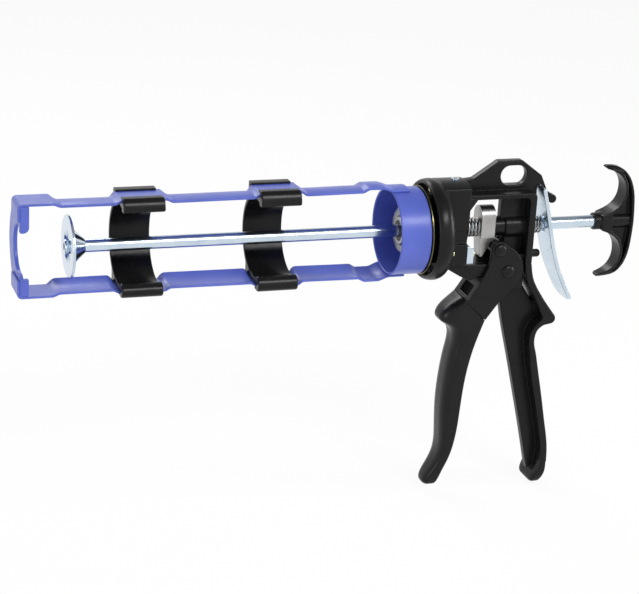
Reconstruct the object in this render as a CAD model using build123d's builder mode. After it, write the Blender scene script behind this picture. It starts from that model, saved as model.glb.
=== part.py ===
"""Caulking gun with a turning cradle, all sizes in millimetres.

+X runs to the rear, +Z is up, and the near side is -Y. The origin is on the rod's axis, in the plane
of the cradle's rear face, where it turns against the body.
"""

import math
import os

from build123d import *

os.makedirs("parts", exist_ok=True)

# Fits
run_gap = 0.05  # radial clearance of a rod, pin or spigot that turns or slides in its bore
side_gap = 0.3  # gap between pieces that move past each other
weld_gap = 0.02  # gap between curved pieces that are fixed together
outline_points = 7  # points of an outline that runs beside another

# Plunger
rod_d = 8.0
disc_stand = 31.0  # from the nose's outer face to the front of the pusher disc
disc_d = 38.4
disc_t = 1.5
disc_panel_d = 20.0  # sunk middle of the disc
disc_dish = 1.2
cone_d = 23.0
cone_len = 7.5
cone_tip_wall = 0.6
disc_screw_d = 5.0
disc_screw_len = 14.0
disc_screw_head_d = 9.0
disc_screw_head_h = 3.2
socket_af = 4.0
socket_depth = 2.0

# Pull handle
pull_front_x = 121.5
pull_back_x = 148.4
pull_half_h = 37.6
pull_t = 13.0
pull_hub_d = 11.2
pull_hub_len = 8.5
pull_tube_d = 10.0
pull_web_t = 4.0
pull_rim = 1.8
pull_edge_r = 0.6
rod_end_wall = 4.0

# Cradle
collar_d = 55.0
collar_len = 20.0
collar_t = 1.6
collar_plate_t = 2.0
nut_recess_d = 34.0  # sunk ring round the nut
nut_recess_depth = 0.4
cradle_len = 233.0  # from the collar's front rim to the outer face of the nose flaps
rail_w = 20.0
rail_t = 1.5
rail_flat_z = 28.3  # outer face of the flat stretches
rail_roll_z = 27.0  # crown of the rolled stretches
rail_roll_sag = 2.0
rail_bulge_z = 30.0
rail_flat_sag = 0.05
rail_joggle = 6.0
nose_flat_len = 21.0
nose_flap_h = 10.0
nose_bend_r = 3.0
bulge_len = 11.0
bulge_gap = 8.5  # from the bulge to the collar's rim
tab_len = 11.0  # how far each rail reaches along the collar
tab_gap = 0.05  # between each rail and the collar

# Nose plate
nose_t = 4.0
nose_d = 58.0
nose_hole_d = 30.0
nose_slot_h = 28.6
prong_r = 2.5

# Rail clips
front_clip_x = -180.2
rear_clip_x = -95.4
clip_len = 25.0
clip_flat = 3.0  # flat rail left free at each end of a clip
clip_band_t = 2.2
clip_bore_d = 50.4
clip_lip_t = 3.5
clip_lip_in = 4.2
clip_lip_out = 1.4
clip_lip_reach = 3.5

# Spigot, nut and bearing
spigot_d = 18.0
spigot_len = 12.5
spigot_bush_d = 13.0
spigot_bush_back = 10.0
nut_af = 27.0
nut_t = 9.5
bearing_t = 0.6
bearing_d = 56.2

# Bell of the body
bell_d = 64.4
bell_front_x = 6.0
bell_back_x = 15.0
bell_wall = 2.2
bell_lip_r = 2.0
bell_back_r = 5.0
pocket_w = 8.5  # from the hub to the bell's wall
pocket_floor_x = 11.0
flange_screw_count = 3
flange_screw_angle = 80.0
flange_screw_d = 3.4
flange_screw_len = 5.0
flange_head_d = 5.6
flange_head_h = 2.4

# Neck
neck_w = 27.0
neck_drop = 0.2  # from the bell's rim down to the neck's top
neck_back_x = 30.0
neck_bottom_z = -21.0
neck_groove_top = 2.0
neck_groove_h = 9.0
neck_groove_depth = 1.6
set_screw_x = 23.5
set_screw_d = 5.0
set_screw_len = 8.0
set_screw_rise = 0.8

# Upper frame of the body
web_t = 6.0
flange_w = 26.0
top_flange_z = 24.6
top_flange_t = 3.3
wall_back_x = 75.5
wall_t = 4.5
web_front_x = 55.4
boss_d = 15.0
boss_front_x = 58.0
rear_bush_d = 12.6
rear_bush_front_x = 50.9
rear_bush_shank_d = 10.6
rear_bush_end_x = 70.0
wall_hole_d = 9.2
hang_slot_len = 18.0
hang_slot_h = 12.8
hang_slot_x = 62.4
hang_slot_z = 33.7
tab_top_z = 43.4
tail_x = 90.6
tail_z = 17.0
tail_r = 2.8
casting_edge_r = 1.0
casting_root_r = 2.0
lug_corner_r = 2.5
handle_rake = 0.25  # slope of the handle's front edge
post_z = -19.6
post_d = 5.2
post_end_x = 86.0
channel_z = -22.6  # floor of the gap that the gripper's tail moves in
channel_back_x = 58.6
block_top_z = -17.0
handle_top_z = -22.0
notch_z = 26.6  # top of the notch that the release lever hangs in
lug_back_x = 79.2
lug_end_z = 16.0

# Trigger
pivot_x = 59.6
pivot_z = -27.0
pivot_d = 6.0
drive_x = 53.1
drive_z = -12.6
drive_end_d = 6.0
drive_pin_d = 9.2
rivet_head_d = 8.6
rivet_head_h = 2.0
yoke_w = 25.0
yoke_t = 3.0
yoke_top_x = 62.8
cheek_pivot_r = 10.7
cheek_drive_r = 5.7
yoke_wall = 3.0
yoke_wall_top_z = -31.6
window_z = -40.8  # middle of the window in the front wall
window_w = 13.0
window_h = 6.6
tang_x = 33.8
tang_w = 11.0
tang_len = 26.0
tang_t = 5.0
grip_w = 23.0
grip_slot_w = 11.4
grip_round = 0.5  # share of the grip's depth that is rounded in front
grip_corner = 0.22  # share of its depth in the rear corners

# Gripper and its spring
gripper_front_x = 41.2
gripper_t = 9.4
gripper_w = 14.0
gripper_top_z = 14.2
gripper_base_z = -6.0
tail_w = 10.0
tail_end_z = -18.6
tail_front_x = 42.4
drive_gap = 0.65  # between the drive pin and the gripper's tail at rest
return_wire_d = 1.3
return_coil_d = 11.3  # middle of the wire
return_turns = 9
return_seat_x = 20.0
return_bore_d = 14.0

# Release lever and its spring
lever_x = 81.2  # the edge that the lever turns on
lever_z = 25.0
lever_tip_z = -51.0
lever_t = 2.5
lever_w = 18.0
lever_slot_w = 8.8
lever_slot_h = 11.0
lever_end_r = 7.0
spring_seat = 0.6  # share of the wire's thickness from a seat to the middle of the first curl
spring_steps = 48  # points to a turn where a spring's gap is measured
release_wire_d = 1.1
release_coil_d = 10.6
release_turns = 4
release_len = 8.4

# Stop tongue
tongue_t = 1.4
tongue_w = 7.0
tongue_y = -10.0
tongue_top_z = -8.5
tongue_end_z = -21.0
tongue_side_len = 4.3
tongue_side_top_z = -10.2
tongue_side_end_z = -19.8
stop_screw_y = -9.2
stop_screw_z = -14.5
stop_screw_d = 3.4
stop_screw_len = 8.0
stop_head_d = 5.2
stop_head_h = 4.6

# Values that follow from the driving dimensions
rod_r = rod_d / 2
rod_bore_r = rod_r + run_gap
collar_r = collar_d / 2
nose_x = -collar_len - cradle_len
rail_inner_z = rail_flat_z - rail_t
hub_r = bell_d / 2 - bell_wall - pocket_w
flange_screw_r = hub_r + pocket_w / 2
neck_top_r = bell_d / 2 - neck_drop
hub_front_x = side_gap + bearing_t
disc_x = nose_x + disc_stand
disc_panel_x = disc_x + disc_dish
rod_front_x = disc_panel_x + disc_t
rod_back_x = pull_back_x - rod_end_wall
pull_depth = pull_back_x - pull_front_x
wall_front_x = wall_back_x - wall_t
cheek_y = yoke_w / 2
block_w = yoke_w - 2 * yoke_t - 2 * side_gap
gripper_back_x = gripper_front_x + gripper_t
tail_lean = math.asin(
    (drive_pin_d / 2 + drive_gap) / math.hypot(drive_x - gripper_back_x, gripper_base_z - drive_z)
) - math.atan2(drive_x - gripper_back_x, gripper_base_z - drive_z)
tail_end_x = gripper_back_x - (gripper_base_z - tail_end_z) * math.tan(tail_lean)


def wire_gap(points, per_turn, wire_d):
    """Least distance from the wire to itself, measured between points over half a turn apart."""
    least = math.inf
    for i in range(len(points)):
        for j in range(i + per_turn // 2, len(points)):
            least = min(least, (points[i] - points[j]).length - wire_d)
    return least


def biarc_joint(start, start_dir, end, end_dir):
    """Point where two arcs meet that join start to end, each tangent to its given direction."""
    chord = end - start
    total = start_dir + end_dir
    turn = 2 * (1 - start_dir.dot(end_dir))
    reach = chord.dot(total)
    length = (-reach + math.sqrt(reach**2 + turn * chord.dot(chord))) / turn
    return (start + start_dir * length + end - end_dir * length) * 0.5


def coil_points(front_x, length, coil_d, turns, steps):
    """Points and directions along a coil round the rod's axis, with steps to a turn."""
    radius = coil_d / 2
    rise = length / (turns * 2 * math.pi)
    points = []
    directions = []
    for i in range(turns * steps + 1):
        angle = 2 * math.pi * i / steps
        points.append(Vector(front_x + rise * angle, radius * math.sin(angle), radius * math.cos(angle)))
        direction = Vector(rise, radius * math.cos(angle), -radius * math.sin(angle))
        directions.append(direction.normalized())
    return points, directions


def coil_wire(front_x, length, coil_d, turns, wire_d):
    """Adds the coil's middle line to the open line builder, with a straight run at each end."""
    points, directions = coil_points(front_x, length, coil_d, turns, 4)
    Line(points[0] - directions[0] * wire_d, points[0])
    for i in range(len(points) - 1):
        joint = biarc_joint(points[i], directions[i], points[i + 1], directions[i + 1])
        first = TangentArc(points[i], joint, tangent=directions[i])
        TangentArc(joint, points[i + 1], tangent=first % 1)
    Line(points[-1], points[-1] + directions[-1] * wire_d)


def beside(curve, distance, start, end):
    """Points along a stretch of a curve, each shifted to the curve's left."""
    points = []
    for i in range(outline_points):
        share = start + (end - start) * i / (outline_points - 1)
        direction = curve % share
        points.append(curve @ share + Vector(-direction.Y, direction.X) * distance)
    return points


# Plunger rod, with a threaded hole in its front end
with BuildPart() as plunger_rod:
    with BuildSketch(Plane.YZ.offset(rod_front_x)):
        Circle(rod_r)
    extrude(amount=rod_back_x - rod_front_x)
    with BuildSketch(Plane.YZ.offset(rod_front_x)):
        Circle(disc_screw_d / 2 + weld_gap)
    extrude(amount=disc_screw_len, mode=Mode.SUBTRACT)

# Pusher disc, with its middle sunk to the rear
with BuildPart() as pusher_disc:
    with BuildSketch(Plane.XZ):
        with BuildLine():
            Polyline(
                (disc_panel_x, disc_screw_d / 2 + weld_gap),
                (disc_panel_x, disc_panel_d / 2 - disc_dish),
                (disc_x, disc_panel_d / 2),
                (disc_x, disc_d / 2),
                (disc_x + disc_t, disc_d / 2),
                (disc_x + disc_t, disc_panel_d / 2 + disc_t),
                (disc_panel_x + disc_t, disc_panel_d / 2 + disc_t - disc_dish),
                (disc_panel_x + disc_t, disc_screw_d / 2 + weld_gap),
                close=True,
            )
        make_face()
    revolve(axis=Axis.X)
    fillet(pusher_disc.edges().filter_by(GeomType.CIRCLE).group_by(SortBy.RADIUS)[-1], disc_t / 3)

# Cone behind the disc, round the rod
with BuildPart() as backing_cone:
    with BuildSketch(Plane.XZ):
        with BuildLine():
            Polyline(
                (rod_front_x, rod_r + weld_gap),
                (rod_front_x, cone_d / 2),
                (rod_front_x + cone_len, rod_r + cone_tip_wall),
                (rod_front_x + cone_len, rod_r + weld_gap),
                close=True,
            )
        make_face()
    revolve(axis=Axis.X)

# Socket screw that holds the disc on the rod
with BuildPart() as disc_screw:
    with BuildSketch(Plane.YZ.offset(disc_panel_x)):
        Circle(disc_screw_head_d / 2)
    extrude(amount=-disc_screw_head_h)
    fillet(disc_screw.edges().group_by(Axis.X)[0], disc_screw_head_h / 4)
    with BuildSketch(Plane.YZ.offset(disc_panel_x)):
        Circle(disc_screw_d / 2)
    extrude(amount=disc_t + disc_screw_len - 1)
    with BuildSketch(Plane.YZ.offset(disc_panel_x - disc_screw_head_h)):
        RegularPolygon(socket_af / 2, 6, major_radius=False)
    extrude(amount=socket_depth, mode=Mode.SUBTRACT)

# Pull handle: two curved arms with sunk sides, and a tube for the rod
arm_top = (pull_back_x - pull_depth * 0.77, pull_half_h)
arm_end = (pull_back_x - pull_depth * 0.8, pull_half_h * 0.973)
arm_tip = (pull_back_x - pull_depth * 0.766, pull_half_h * 0.946)
arm_root = (pull_front_x + pull_depth * 0.24, pull_half_h * 0.13)
with BuildPart() as pull_handle:
    with BuildSketch(Plane.XZ):
        with BuildLine():
            arm_back = Spline(
                (pull_back_x, 0),
                (pull_back_x - pull_depth * 0.048, pull_half_h * 0.47),
                (pull_back_x - pull_depth * 0.108, pull_half_h * 0.66),
                (pull_back_x - pull_depth * 0.2, pull_half_h * 0.81),
                (pull_back_x - pull_depth * 0.364, pull_half_h * 0.935),
                arm_top,
                tangents=((0, 1), (-1, 0)),
            )
            ThreePointArc(arm_top, arm_end, arm_tip)
            arm_front = Spline(
                arm_tip,
                (pull_back_x - pull_depth * 0.409, pull_half_h * 0.81),
                (pull_back_x - pull_depth * 0.305, pull_half_h * 0.68),
                (pull_back_x - pull_depth * 0.283, pull_half_h * 0.52),
                (pull_back_x - pull_depth * 0.327, pull_half_h * 0.39),
                (pull_back_x - pull_depth * 0.439, pull_half_h * 0.28),
                arm_root,
            )
            Polyline(arm_root, (arm_root[0], 0), (pull_back_x, 0))
        make_face()
        mirror(about=Plane.XZ)
    extrude(amount=pull_t / 2, both=True)
    with BuildSketch(Plane.XZ.offset(pull_web_t / 2), Plane.XZ.offset(-pull_t / 2)):
        with BuildLine():
            back_points = beside(arm_back, pull_rim, 0.0, 0.68)
            front_points = beside(arm_front, pull_rim, 0.28, 0.9)
            Spline(*back_points)
            Line(back_points[-1], front_points[0])
            Spline(*front_points)
            Polyline(front_points[-1], (front_points[-1].X, 0), back_points[0])
        make_face()
        mirror(about=Plane.XZ)
    extrude(amount=(pull_t - pull_web_t) / 2, mode=Mode.SUBTRACT)
    rims = pull_handle.faces().filter_by(Axis.Y).group_by(Axis.Y)
    fillet(rims[0].edges() + rims[-1].edges(), pull_edge_r)
    with BuildSketch(Plane.YZ.offset(pull_front_x)):
        Circle(pull_hub_d / 2)
    extrude(amount=pull_hub_len)
    with BuildSketch(Plane.YZ.offset(pull_front_x)):
        Circle(pull_tube_d / 2)
    extrude(amount=pull_back_x - pull_front_x - pull_rim)
    with BuildSketch(Plane.YZ.offset(pull_front_x)):
        Circle(rod_r + weld_gap)
    extrude(amount=rod_back_x - pull_front_x, mode=Mode.SUBTRACT)

# Collar of the cradle, a shallow cup with a hole that turns on the spigot
with BuildPart() as cradle_collar:
    with BuildSketch(Plane.XZ):
        with BuildLine():
            Polyline(
                (0, spigot_d / 2 + run_gap),
                (0, collar_r),
                (-collar_len, collar_r),
                (-collar_len, collar_r - collar_t),
                (-collar_plate_t, collar_r - collar_t),
                (-collar_plate_t, nut_recess_d / 2),
                (nut_recess_depth - collar_plate_t, nut_recess_d / 2),
                (nut_recess_depth - collar_plate_t, spigot_d / 2 + run_gap),
                close=True,
            )
        make_face()
    revolve(axis=Axis.X)
    fillet(
        cradle_collar.edges().filter_by(GeomType.CIRCLE).group_by(SortBy.RADIUS)[-1].sort_by(Axis.X)[-1],
        collar_t * 0.6,
    )


def rail_section(x, crown_z, sag):
    """One section of a rail across the cradle: a strip crowned by sag."""
    edge_z = crown_z - sag
    with BuildSketch(Plane.YZ.offset(x)) as section:
        with BuildLine():
            ThreePointArc((-rail_w / 2, edge_z), (0, crown_z), (rail_w / 2, edge_z))
            Line((rail_w / 2, edge_z), (rail_w / 2, edge_z - rail_t))
            ThreePointArc(
                (rail_w / 2, edge_z - rail_t), (0, crown_z - rail_t), (-rail_w / 2, edge_z - rail_t)
            )
            Line((-rail_w / 2, edge_z - rail_t), (-rail_w / 2, edge_z))
        make_face()
    return section.sketch


# Upper rail: flat at the nose and clips, rolled between them, and shaped to the collar at the rear
clip_half = clip_len / 2 + clip_flat
bulge_end_x = -collar_len - bulge_gap
tab_inner_r = collar_r + tab_gap
tab_sag = tab_inner_r - math.sqrt(tab_inner_r**2 - (rail_w / 2) ** 2)
nose_flat_x = nose_x + nose_flat_len
rail_stations = [
    (nose_x + nose_bend_r, rail_flat_z, rail_flat_sag),
    (nose_flat_x, rail_flat_z, rail_flat_sag),
    (nose_flat_x + rail_joggle, rail_roll_z, rail_roll_sag),
]
for clip_x in (front_clip_x, rear_clip_x):
    rail_stations += [
        (clip_x - clip_half - rail_joggle, rail_roll_z, rail_roll_sag),
        (clip_x - clip_half, rail_flat_z, rail_flat_sag),
        (clip_x + clip_half, rail_flat_z, rail_flat_sag),
        (clip_x + clip_half + rail_joggle, rail_roll_z, rail_roll_sag),
    ]
rail_stations += [
    (bulge_end_x - bulge_len - rail_joggle, rail_roll_z, rail_roll_sag),
    (bulge_end_x - bulge_len, rail_bulge_z, rail_flat_sag),
    (bulge_end_x, rail_bulge_z, rail_flat_sag),
    (-collar_len, tab_inner_r + rail_t, tab_sag),
    (-collar_len + tab_len, tab_inner_r + rail_t, tab_sag),
]
with BuildPart() as upper_rail:
    loft([rail_section(*station) for station in rail_stations], ruled=True)
    with BuildSketch(Plane.XZ):
        with BuildLine():
            Line((nose_x + nose_bend_r, rail_flat_z), (nose_x + nose_bend_r, rail_inner_z))
            Line((nose_x + nose_bend_r, rail_inner_z), (nose_x + rail_t, rail_inner_z - nose_bend_r + rail_t))
            Line(
                (nose_x + rail_t, rail_inner_z - nose_bend_r + rail_t),
                (nose_x + rail_t, rail_flat_z - nose_flap_h),
            )
            Line((nose_x + rail_t, rail_flat_z - nose_flap_h), (nose_x, rail_flat_z - nose_flap_h))
            Line((nose_x, rail_flat_z - nose_flap_h), (nose_x, rail_flat_z - nose_bend_r))
            RadiusArc(
                (nose_x, rail_flat_z - nose_bend_r), (nose_x + nose_bend_r, rail_flat_z), nose_bend_r
            )
        make_face()
    extrude(amount=rail_w / 2, both=True)

# Lower rail, the upper one mirrored
with BuildPart() as lower_rail:
    mirror(upper_rail.part, about=Plane.XY)

nose_half_h = rail_inner_z - rail_flat_sag - nose_bend_r + rail_t - weld_gap

# Nose plate, with a notch open to the near side for the nozzle
with BuildPart() as nose_plate:
    with BuildSketch(Plane.YZ.offset(nose_x + rail_t + weld_gap)):
        Circle(nose_d / 2)
        with Locations((nose_d / 2 - rail_w / 2, 0)):
            Rectangle(nose_d, 2 * nose_half_h, mode=Mode.INTERSECT)
        Circle(nose_hole_d / 2, mode=Mode.SUBTRACT)
        with Locations((-nose_d / 2, 0)):
            Rectangle(nose_d, nose_slot_h, mode=Mode.SUBTRACT)
    extrude(amount=nose_t)
    prong_edges = nose_plate.edges().filter_by(Axis.X).filter_by_position(Axis.Y, -rail_w, -rail_w / 2 + 1)
    fillet(prong_edges, prong_r)


def clip_section(clip_x):
    """Section of a rail clip: a half-round band with a channel round each rail."""
    band_r = clip_bore_d / 2
    lip_y = rail_w / 2 + weld_gap
    in_z = rail_inner_z - rail_flat_sag - weld_gap
    out_z = rail_flat_z + weld_gap
    lip_h = out_z + clip_lip_out - in_z + clip_lip_in
    with BuildSketch(Plane.YZ.offset(clip_x - clip_len / 2)) as section:
        Circle(band_r + clip_band_t)
        Circle(band_r, mode=Mode.SUBTRACT)
        with Locations((lip_y + nose_d / 2, 0)):
            Rectangle(nose_d, 2 * nose_d, mode=Mode.INTERSECT)
        for up in (1, -1):
            with Locations((0, up * (band_r + in_z) / 2)):
                Rectangle(2 * lip_y, in_z - band_r)
            for side in (1, -1):
                with Locations((side * (lip_y + clip_lip_t / 2), up * (out_z + clip_lip_out - lip_h / 2))):
                    Rectangle(clip_lip_t, lip_h)
                with Locations((side * (lip_y - clip_lip_reach / 2), up * (out_z + clip_lip_out / 2))):
                    Rectangle(clip_lip_reach, clip_lip_out)
    return section.sketch


# Rail clips
with BuildPart() as front_clip:
    extrude(clip_section(front_clip_x), amount=clip_len)

with BuildPart() as rear_clip:
    extrude(clip_section(rear_clip_x), amount=clip_len)

# Hexagon nut on the spigot, which keeps the cradle on the body
nut_back_x = nut_recess_depth - collar_plate_t - side_gap
with BuildPart() as cradle_nut:
    with BuildSketch(Plane.YZ.offset(nut_back_x)):
        RegularPolygon(nut_af / 2, 6, major_radius=False)
        Circle(spigot_d / 2 + weld_gap, mode=Mode.SUBTRACT)
    extrude(amount=-nut_t)

# Disc that the cradle turns against
with BuildPart() as bearing_disc:
    with BuildSketch(Plane.YZ.offset(side_gap)):
        Circle(bearing_d / 2)
        Circle(spigot_d / 2 + weld_gap, mode=Mode.SUBTRACT)
    extrude(amount=bearing_t)

# Bush in the spigot
with BuildPart() as spigot_bush:
    with BuildSketch(Plane.YZ.offset(-spigot_len)):
        Circle(spigot_bush_d / 2)
        Circle(rod_bore_r, mode=Mode.SUBTRACT)
    extrude(amount=spigot_len + spigot_bush_back)

# Bush in the rear boss, with a wider front end
with BuildPart() as rear_rod_bush:
    with BuildSketch(Plane.YZ.offset(rear_bush_front_x)):
        Circle(rear_bush_d / 2)
    extrude(amount=boss_front_x - rear_bush_front_x)
    fillet(rear_rod_bush.edges().group_by(Axis.X)[0], casting_edge_r)
    with BuildSketch(Plane.YZ.offset(boss_front_x)):
        Circle(rear_bush_shank_d / 2)
    extrude(amount=rear_bush_end_x - boss_front_x)
    with BuildSketch(Plane.YZ.offset(rear_bush_front_x)):
        Circle(rod_bore_r)
    extrude(amount=rear_bush_end_x - rear_bush_front_x, mode=Mode.SUBTRACT)

# Body casting: bell and spigot, neck, frame, hanging lug and rear handle in one piece
rod_hole_r = wall_hole_d / 2
tab_outline = [
    (neck_back_x - 4, top_flange_z - top_flange_t / 2),
    (neck_back_x - 4, neck_top_r - 0.4),
    (35.0, neck_top_r + 0.4),
    (51.4, tab_top_z),
    (67.6, tab_top_z),
    (81.7, 33.0),
    (86.3, 22.8),
    (tail_x + 0.4, tail_z + tail_r),
    (tail_x - tail_r, tail_z - 1.2),
    (84.4, 21.4),
    (83.6, notch_z),
    (lug_back_x, notch_z),
    (lug_back_x, lug_end_z),
    (wall_back_x - 1, lug_end_z),
    (wall_back_x - 1, top_flange_z - top_flange_t / 2),
]
web_outline = [
    (web_front_x, top_flange_z - 1),
    (wall_front_x + 1, top_flange_z - 1),
    (wall_front_x + 1, block_top_z - 1),
    (channel_back_x, block_top_z - 1),
    (channel_back_x, -boss_d / 2),
    (web_front_x, -boss_d / 2),
]
block_outline = [
    (bell_back_x - 1, neck_bottom_z + 3),
    (neck_back_x, neck_bottom_z + 3),
    (neck_back_x, channel_z),
    (channel_back_x, channel_z),
    (channel_back_x, block_top_z),
    (wall_front_x + 1, block_top_z),
    (wall_front_x + 1, -40.0),
    (60.0, -40.0),
    (54.0, -36.0),
    (50.0, -30.8),
    (39.5, -30.8),
    (36.0, -33.0),
    (28.5, -30.0),
    (20.0, -25.0),
    (bell_back_x - 1, -22.0),
]
handle_front = [(58.0, -36.0), (60.2, -50.9), (71.4, -95.8), (83.5, -143.4), (90.4, -172.0)]
handle_middle = [(97.0, -165.0), (97.0, -155.0), (93.0, -136.0), (81.0, -80.0), (81.0, -71.0), (88.0, -59.0)]
neck_back = [(wall_back_x, handle_top_z), (77.6, -32.0), (85.6, -46.0), (94.2, -57.4)]
spur_tip = (95.9, -61.0)
handle_back = [
    (93.6, -64.2),
    (88.3, -65.1),
    (83.8, -68.8),
    (82.4, -75.2),
    (84.8, -85.6),
    (94.2, -127.8),
    (99.2, -154.5),
    (99.2, -166.0),
]
foot_bottom = [(99.2, -166.0), (97.2, -174.0), (92.4, -178.2), (88.8, -176.6), (87.6, -173.6)]
foot_tip = (88.2, -171.5)
foot_top = (89.8, -170.9)
foot_corner = (92.2, -172.6)
foot_bend = (93.7, -171.4)
foot_z = -164.0  # the foot is rounded in plan below this level
foot_round_x = 94.6
handle_inner = [(94.5, -168.0), (94.9, -156.6), (91.2, -135.0), (80.2, -84.0), (79.2, -72.0), (82.4, -65.6)]
spur_inner = (87.6, -60.6)
neck_inner = [spur_inner, (80.6, -47.0), (73.4, -34.0), (wall_front_x, handle_top_z)]

with BuildPart() as body_casting:
    with BuildSketch(Plane.XZ):
        with BuildLine():
            Polyline(
                (-spigot_len, 0),
                (-spigot_len, spigot_d / 2),
                (hub_front_x, spigot_d / 2),
                (hub_front_x, hub_r),
                (pocket_floor_x, hub_r),
                (pocket_floor_x, bell_d / 2 - bell_wall),
                (bell_front_x, bell_d / 2 - bell_wall),
                (bell_front_x, bell_d / 2 - bell_lip_r),
            )
            RadiusArc(
                (bell_front_x, bell_d / 2 - bell_lip_r), (bell_front_x + bell_lip_r, bell_d / 2), bell_lip_r
            )
            Line((bell_front_x + bell_lip_r, bell_d / 2), (bell_back_x - bell_back_r, bell_d / 2))
            RadiusArc(
                (bell_back_x - bell_back_r, bell_d / 2), (bell_back_x, bell_d / 2 - bell_back_r), bell_back_r
            )
            Polyline((bell_back_x, bell_d / 2 - bell_back_r), (bell_back_x, 0), (-spigot_len, 0))
        make_face()
    revolve(axis=Axis.X)
    # Neck, round on top and flat at the sides
    with BuildSketch(Plane.YZ.offset(pocket_floor_x)):
        Circle(neck_top_r)
        with Locations((0, (neck_top_r + neck_bottom_z) / 2)):
            Rectangle(neck_w, neck_top_r - neck_bottom_z, mode=Mode.INTERSECT)
    extrude(amount=neck_back_x - pocket_floor_x)
    # Lower block that the trigger turns on
    with BuildSketch(Plane.XZ):
        with BuildLine():
            Polyline(*block_outline, close=True)
        make_face()
    extrude(amount=block_w / 2, both=True)
    # Top flange and rear wall
    with BuildSketch(Plane.XZ) as frame_angle:
        with BuildLine():
            Polyline(
                (neck_back_x - 2, top_flange_z),
                (wall_back_x, top_flange_z),
                (wall_back_x, handle_top_z),
                (wall_front_x, handle_top_z),
                (wall_front_x, top_flange_z - top_flange_t),
                (neck_back_x - 2, top_flange_z - top_flange_t),
                close=True,
            )
        make_face()
        corners = frame_angle.vertices().group_by(Axis.X)
        fillet(corners[1].sort_by(Axis.Y)[-1], top_flange_t)
        fillet(corners[2].sort_by(Axis.Y)[-1], top_flange_t)
    extrude(amount=flange_w / 2, both=True)
    # Web between them, and the hanging lug above
    with BuildSketch(Plane.XZ):
        with BuildLine():
            Polyline(*web_outline, close=True)
        make_face()
    extrude(amount=web_t / 2, both=True)
    with BuildSketch(Plane.XZ) as lug:
        with BuildLine():
            Polyline(*tab_outline, close=True)
        make_face()
        fillet([v for v in lug.vertices() if v.X > neck_back_x + web_t and v.Y > neck_top_r], lug_corner_r)
        with Locations((tail_x, tail_z)):
            Circle(tail_r)
        with Locations((hang_slot_x, hang_slot_z)):
            SlotOverall(hang_slot_len, hang_slot_h, mode=Mode.SUBTRACT)
    extrude(amount=web_t / 2, both=True)
    # Rear handle: a thin web in front of a wide flange with a spur and a rounded foot
    with BuildSketch(Plane.XZ):
        with BuildLine():
            Line(neck_inner[-1], neck_back[0])
            Spline(*neck_back)
            ThreePointArc(neck_back[-1], spur_tip, handle_back[0])
            Spline(*handle_back)
            Spline(*foot_bottom)
            ThreePointArc(foot_bottom[-1], foot_tip, foot_top)
            Line(foot_top, foot_corner)
            ThreePointArc(foot_corner, foot_bend, handle_inner[0])
            Spline(*handle_inner, spur_inner)
            Spline(*neck_inner)
        make_face()
    extrude(amount=flange_w / 2, both=True)
    with BuildSketch(Plane.XY.offset(foot_z)):
        with Locations((foot_round_x - flange_w / 2, 0)):
            Rectangle(flange_w, 2 * flange_w)
        with Locations((foot_round_x, 0)):
            Ellipse(foot_round_x - foot_bottom[-1][0], flange_w / 2, mode=Mode.SUBTRACT)
    extrude(amount=foot_bottom[2][1] - foot_z - 1, mode=Mode.SUBTRACT)
    with BuildSketch(Plane.XZ):
        with BuildLine():
            Polyline((wall_front_x + 1, -36.0), *handle_front, *handle_middle, close=True)
        make_face()
    extrude(amount=web_t / 2, both=True)
    web_sides = [e for e in body_casting.edges() if abs(abs(e.center().Y) - web_t / 2) < weld_gap]
    web_sides = [e for e in web_sides if e.center().Z < handle_front[0][1] - web_t]
    front_limit = handle_front[1][0] + handle_rake * handle_front[1][1] + web_t / 4
    web_front = [e for e in web_sides if e.center().X + handle_rake * e.center().Z < front_limit]
    fillet([e for e in web_front if e.center().Z > handle_front[-2][1]], casting_edge_r)
    roots = [e for e in web_sides if e.geom_type == GeomType.BSPLINE]
    fillet([e for e in roots if e.center().Z < spur_inner[1]], casting_root_r)
    # Rear boss for the bush, and the post that stops the release lever
    with BuildSketch(Plane.YZ.offset(boss_front_x)):
        Circle(boss_d / 2)
    extrude(amount=wall_front_x - boss_front_x + 1)
    with BuildSketch(Plane.YZ.offset(wall_back_x - 1)):
        with Locations((0, post_z)):
            Circle(post_d / 2)
    extrude(amount=post_end_x - wall_back_x + 1)
    # Bores along the rod
    for bore_r, start_x, end_x in (
        (spigot_bush_d / 2 + weld_gap, -spigot_len - 1, spigot_bush_back),
        (rod_hole_r, spigot_bush_back - 1, neck_back_x + 1),
        (return_bore_d / 2, return_seat_x, neck_back_x + 1),
        (rear_bush_d / 2 + weld_gap, web_front_x - 1, boss_front_x),
        (rear_bush_shank_d / 2 + weld_gap, boss_front_x - 1, rear_bush_end_x),
        (rod_hole_r, rear_bush_end_x - 1, wall_back_x + 1),
    ):
        with BuildSketch(Plane.YZ.offset(start_x)):
            Circle(bore_r)
        extrude(amount=end_x - start_x, mode=Mode.SUBTRACT)
    # Hole for the trigger's pivot
    with BuildSketch(Plane.XZ):
        with Locations((pivot_x, pivot_z)):
            Circle(pivot_d / 2 + run_gap)
    extrude(amount=flange_w, both=True, mode=Mode.SUBTRACT)
    # Grooves along the neck's sides
    with BuildSketch(Plane.YZ.offset(bell_back_x)):
        with Locations((0, neck_groove_top - neck_groove_h / 2)):
            Rectangle(neck_w + 2, neck_groove_h)
            Rectangle(neck_w - 2 * neck_groove_depth, neck_groove_h, mode=Mode.SUBTRACT)
    extrude(amount=neck_back_x - bell_back_x, mode=Mode.SUBTRACT)
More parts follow.
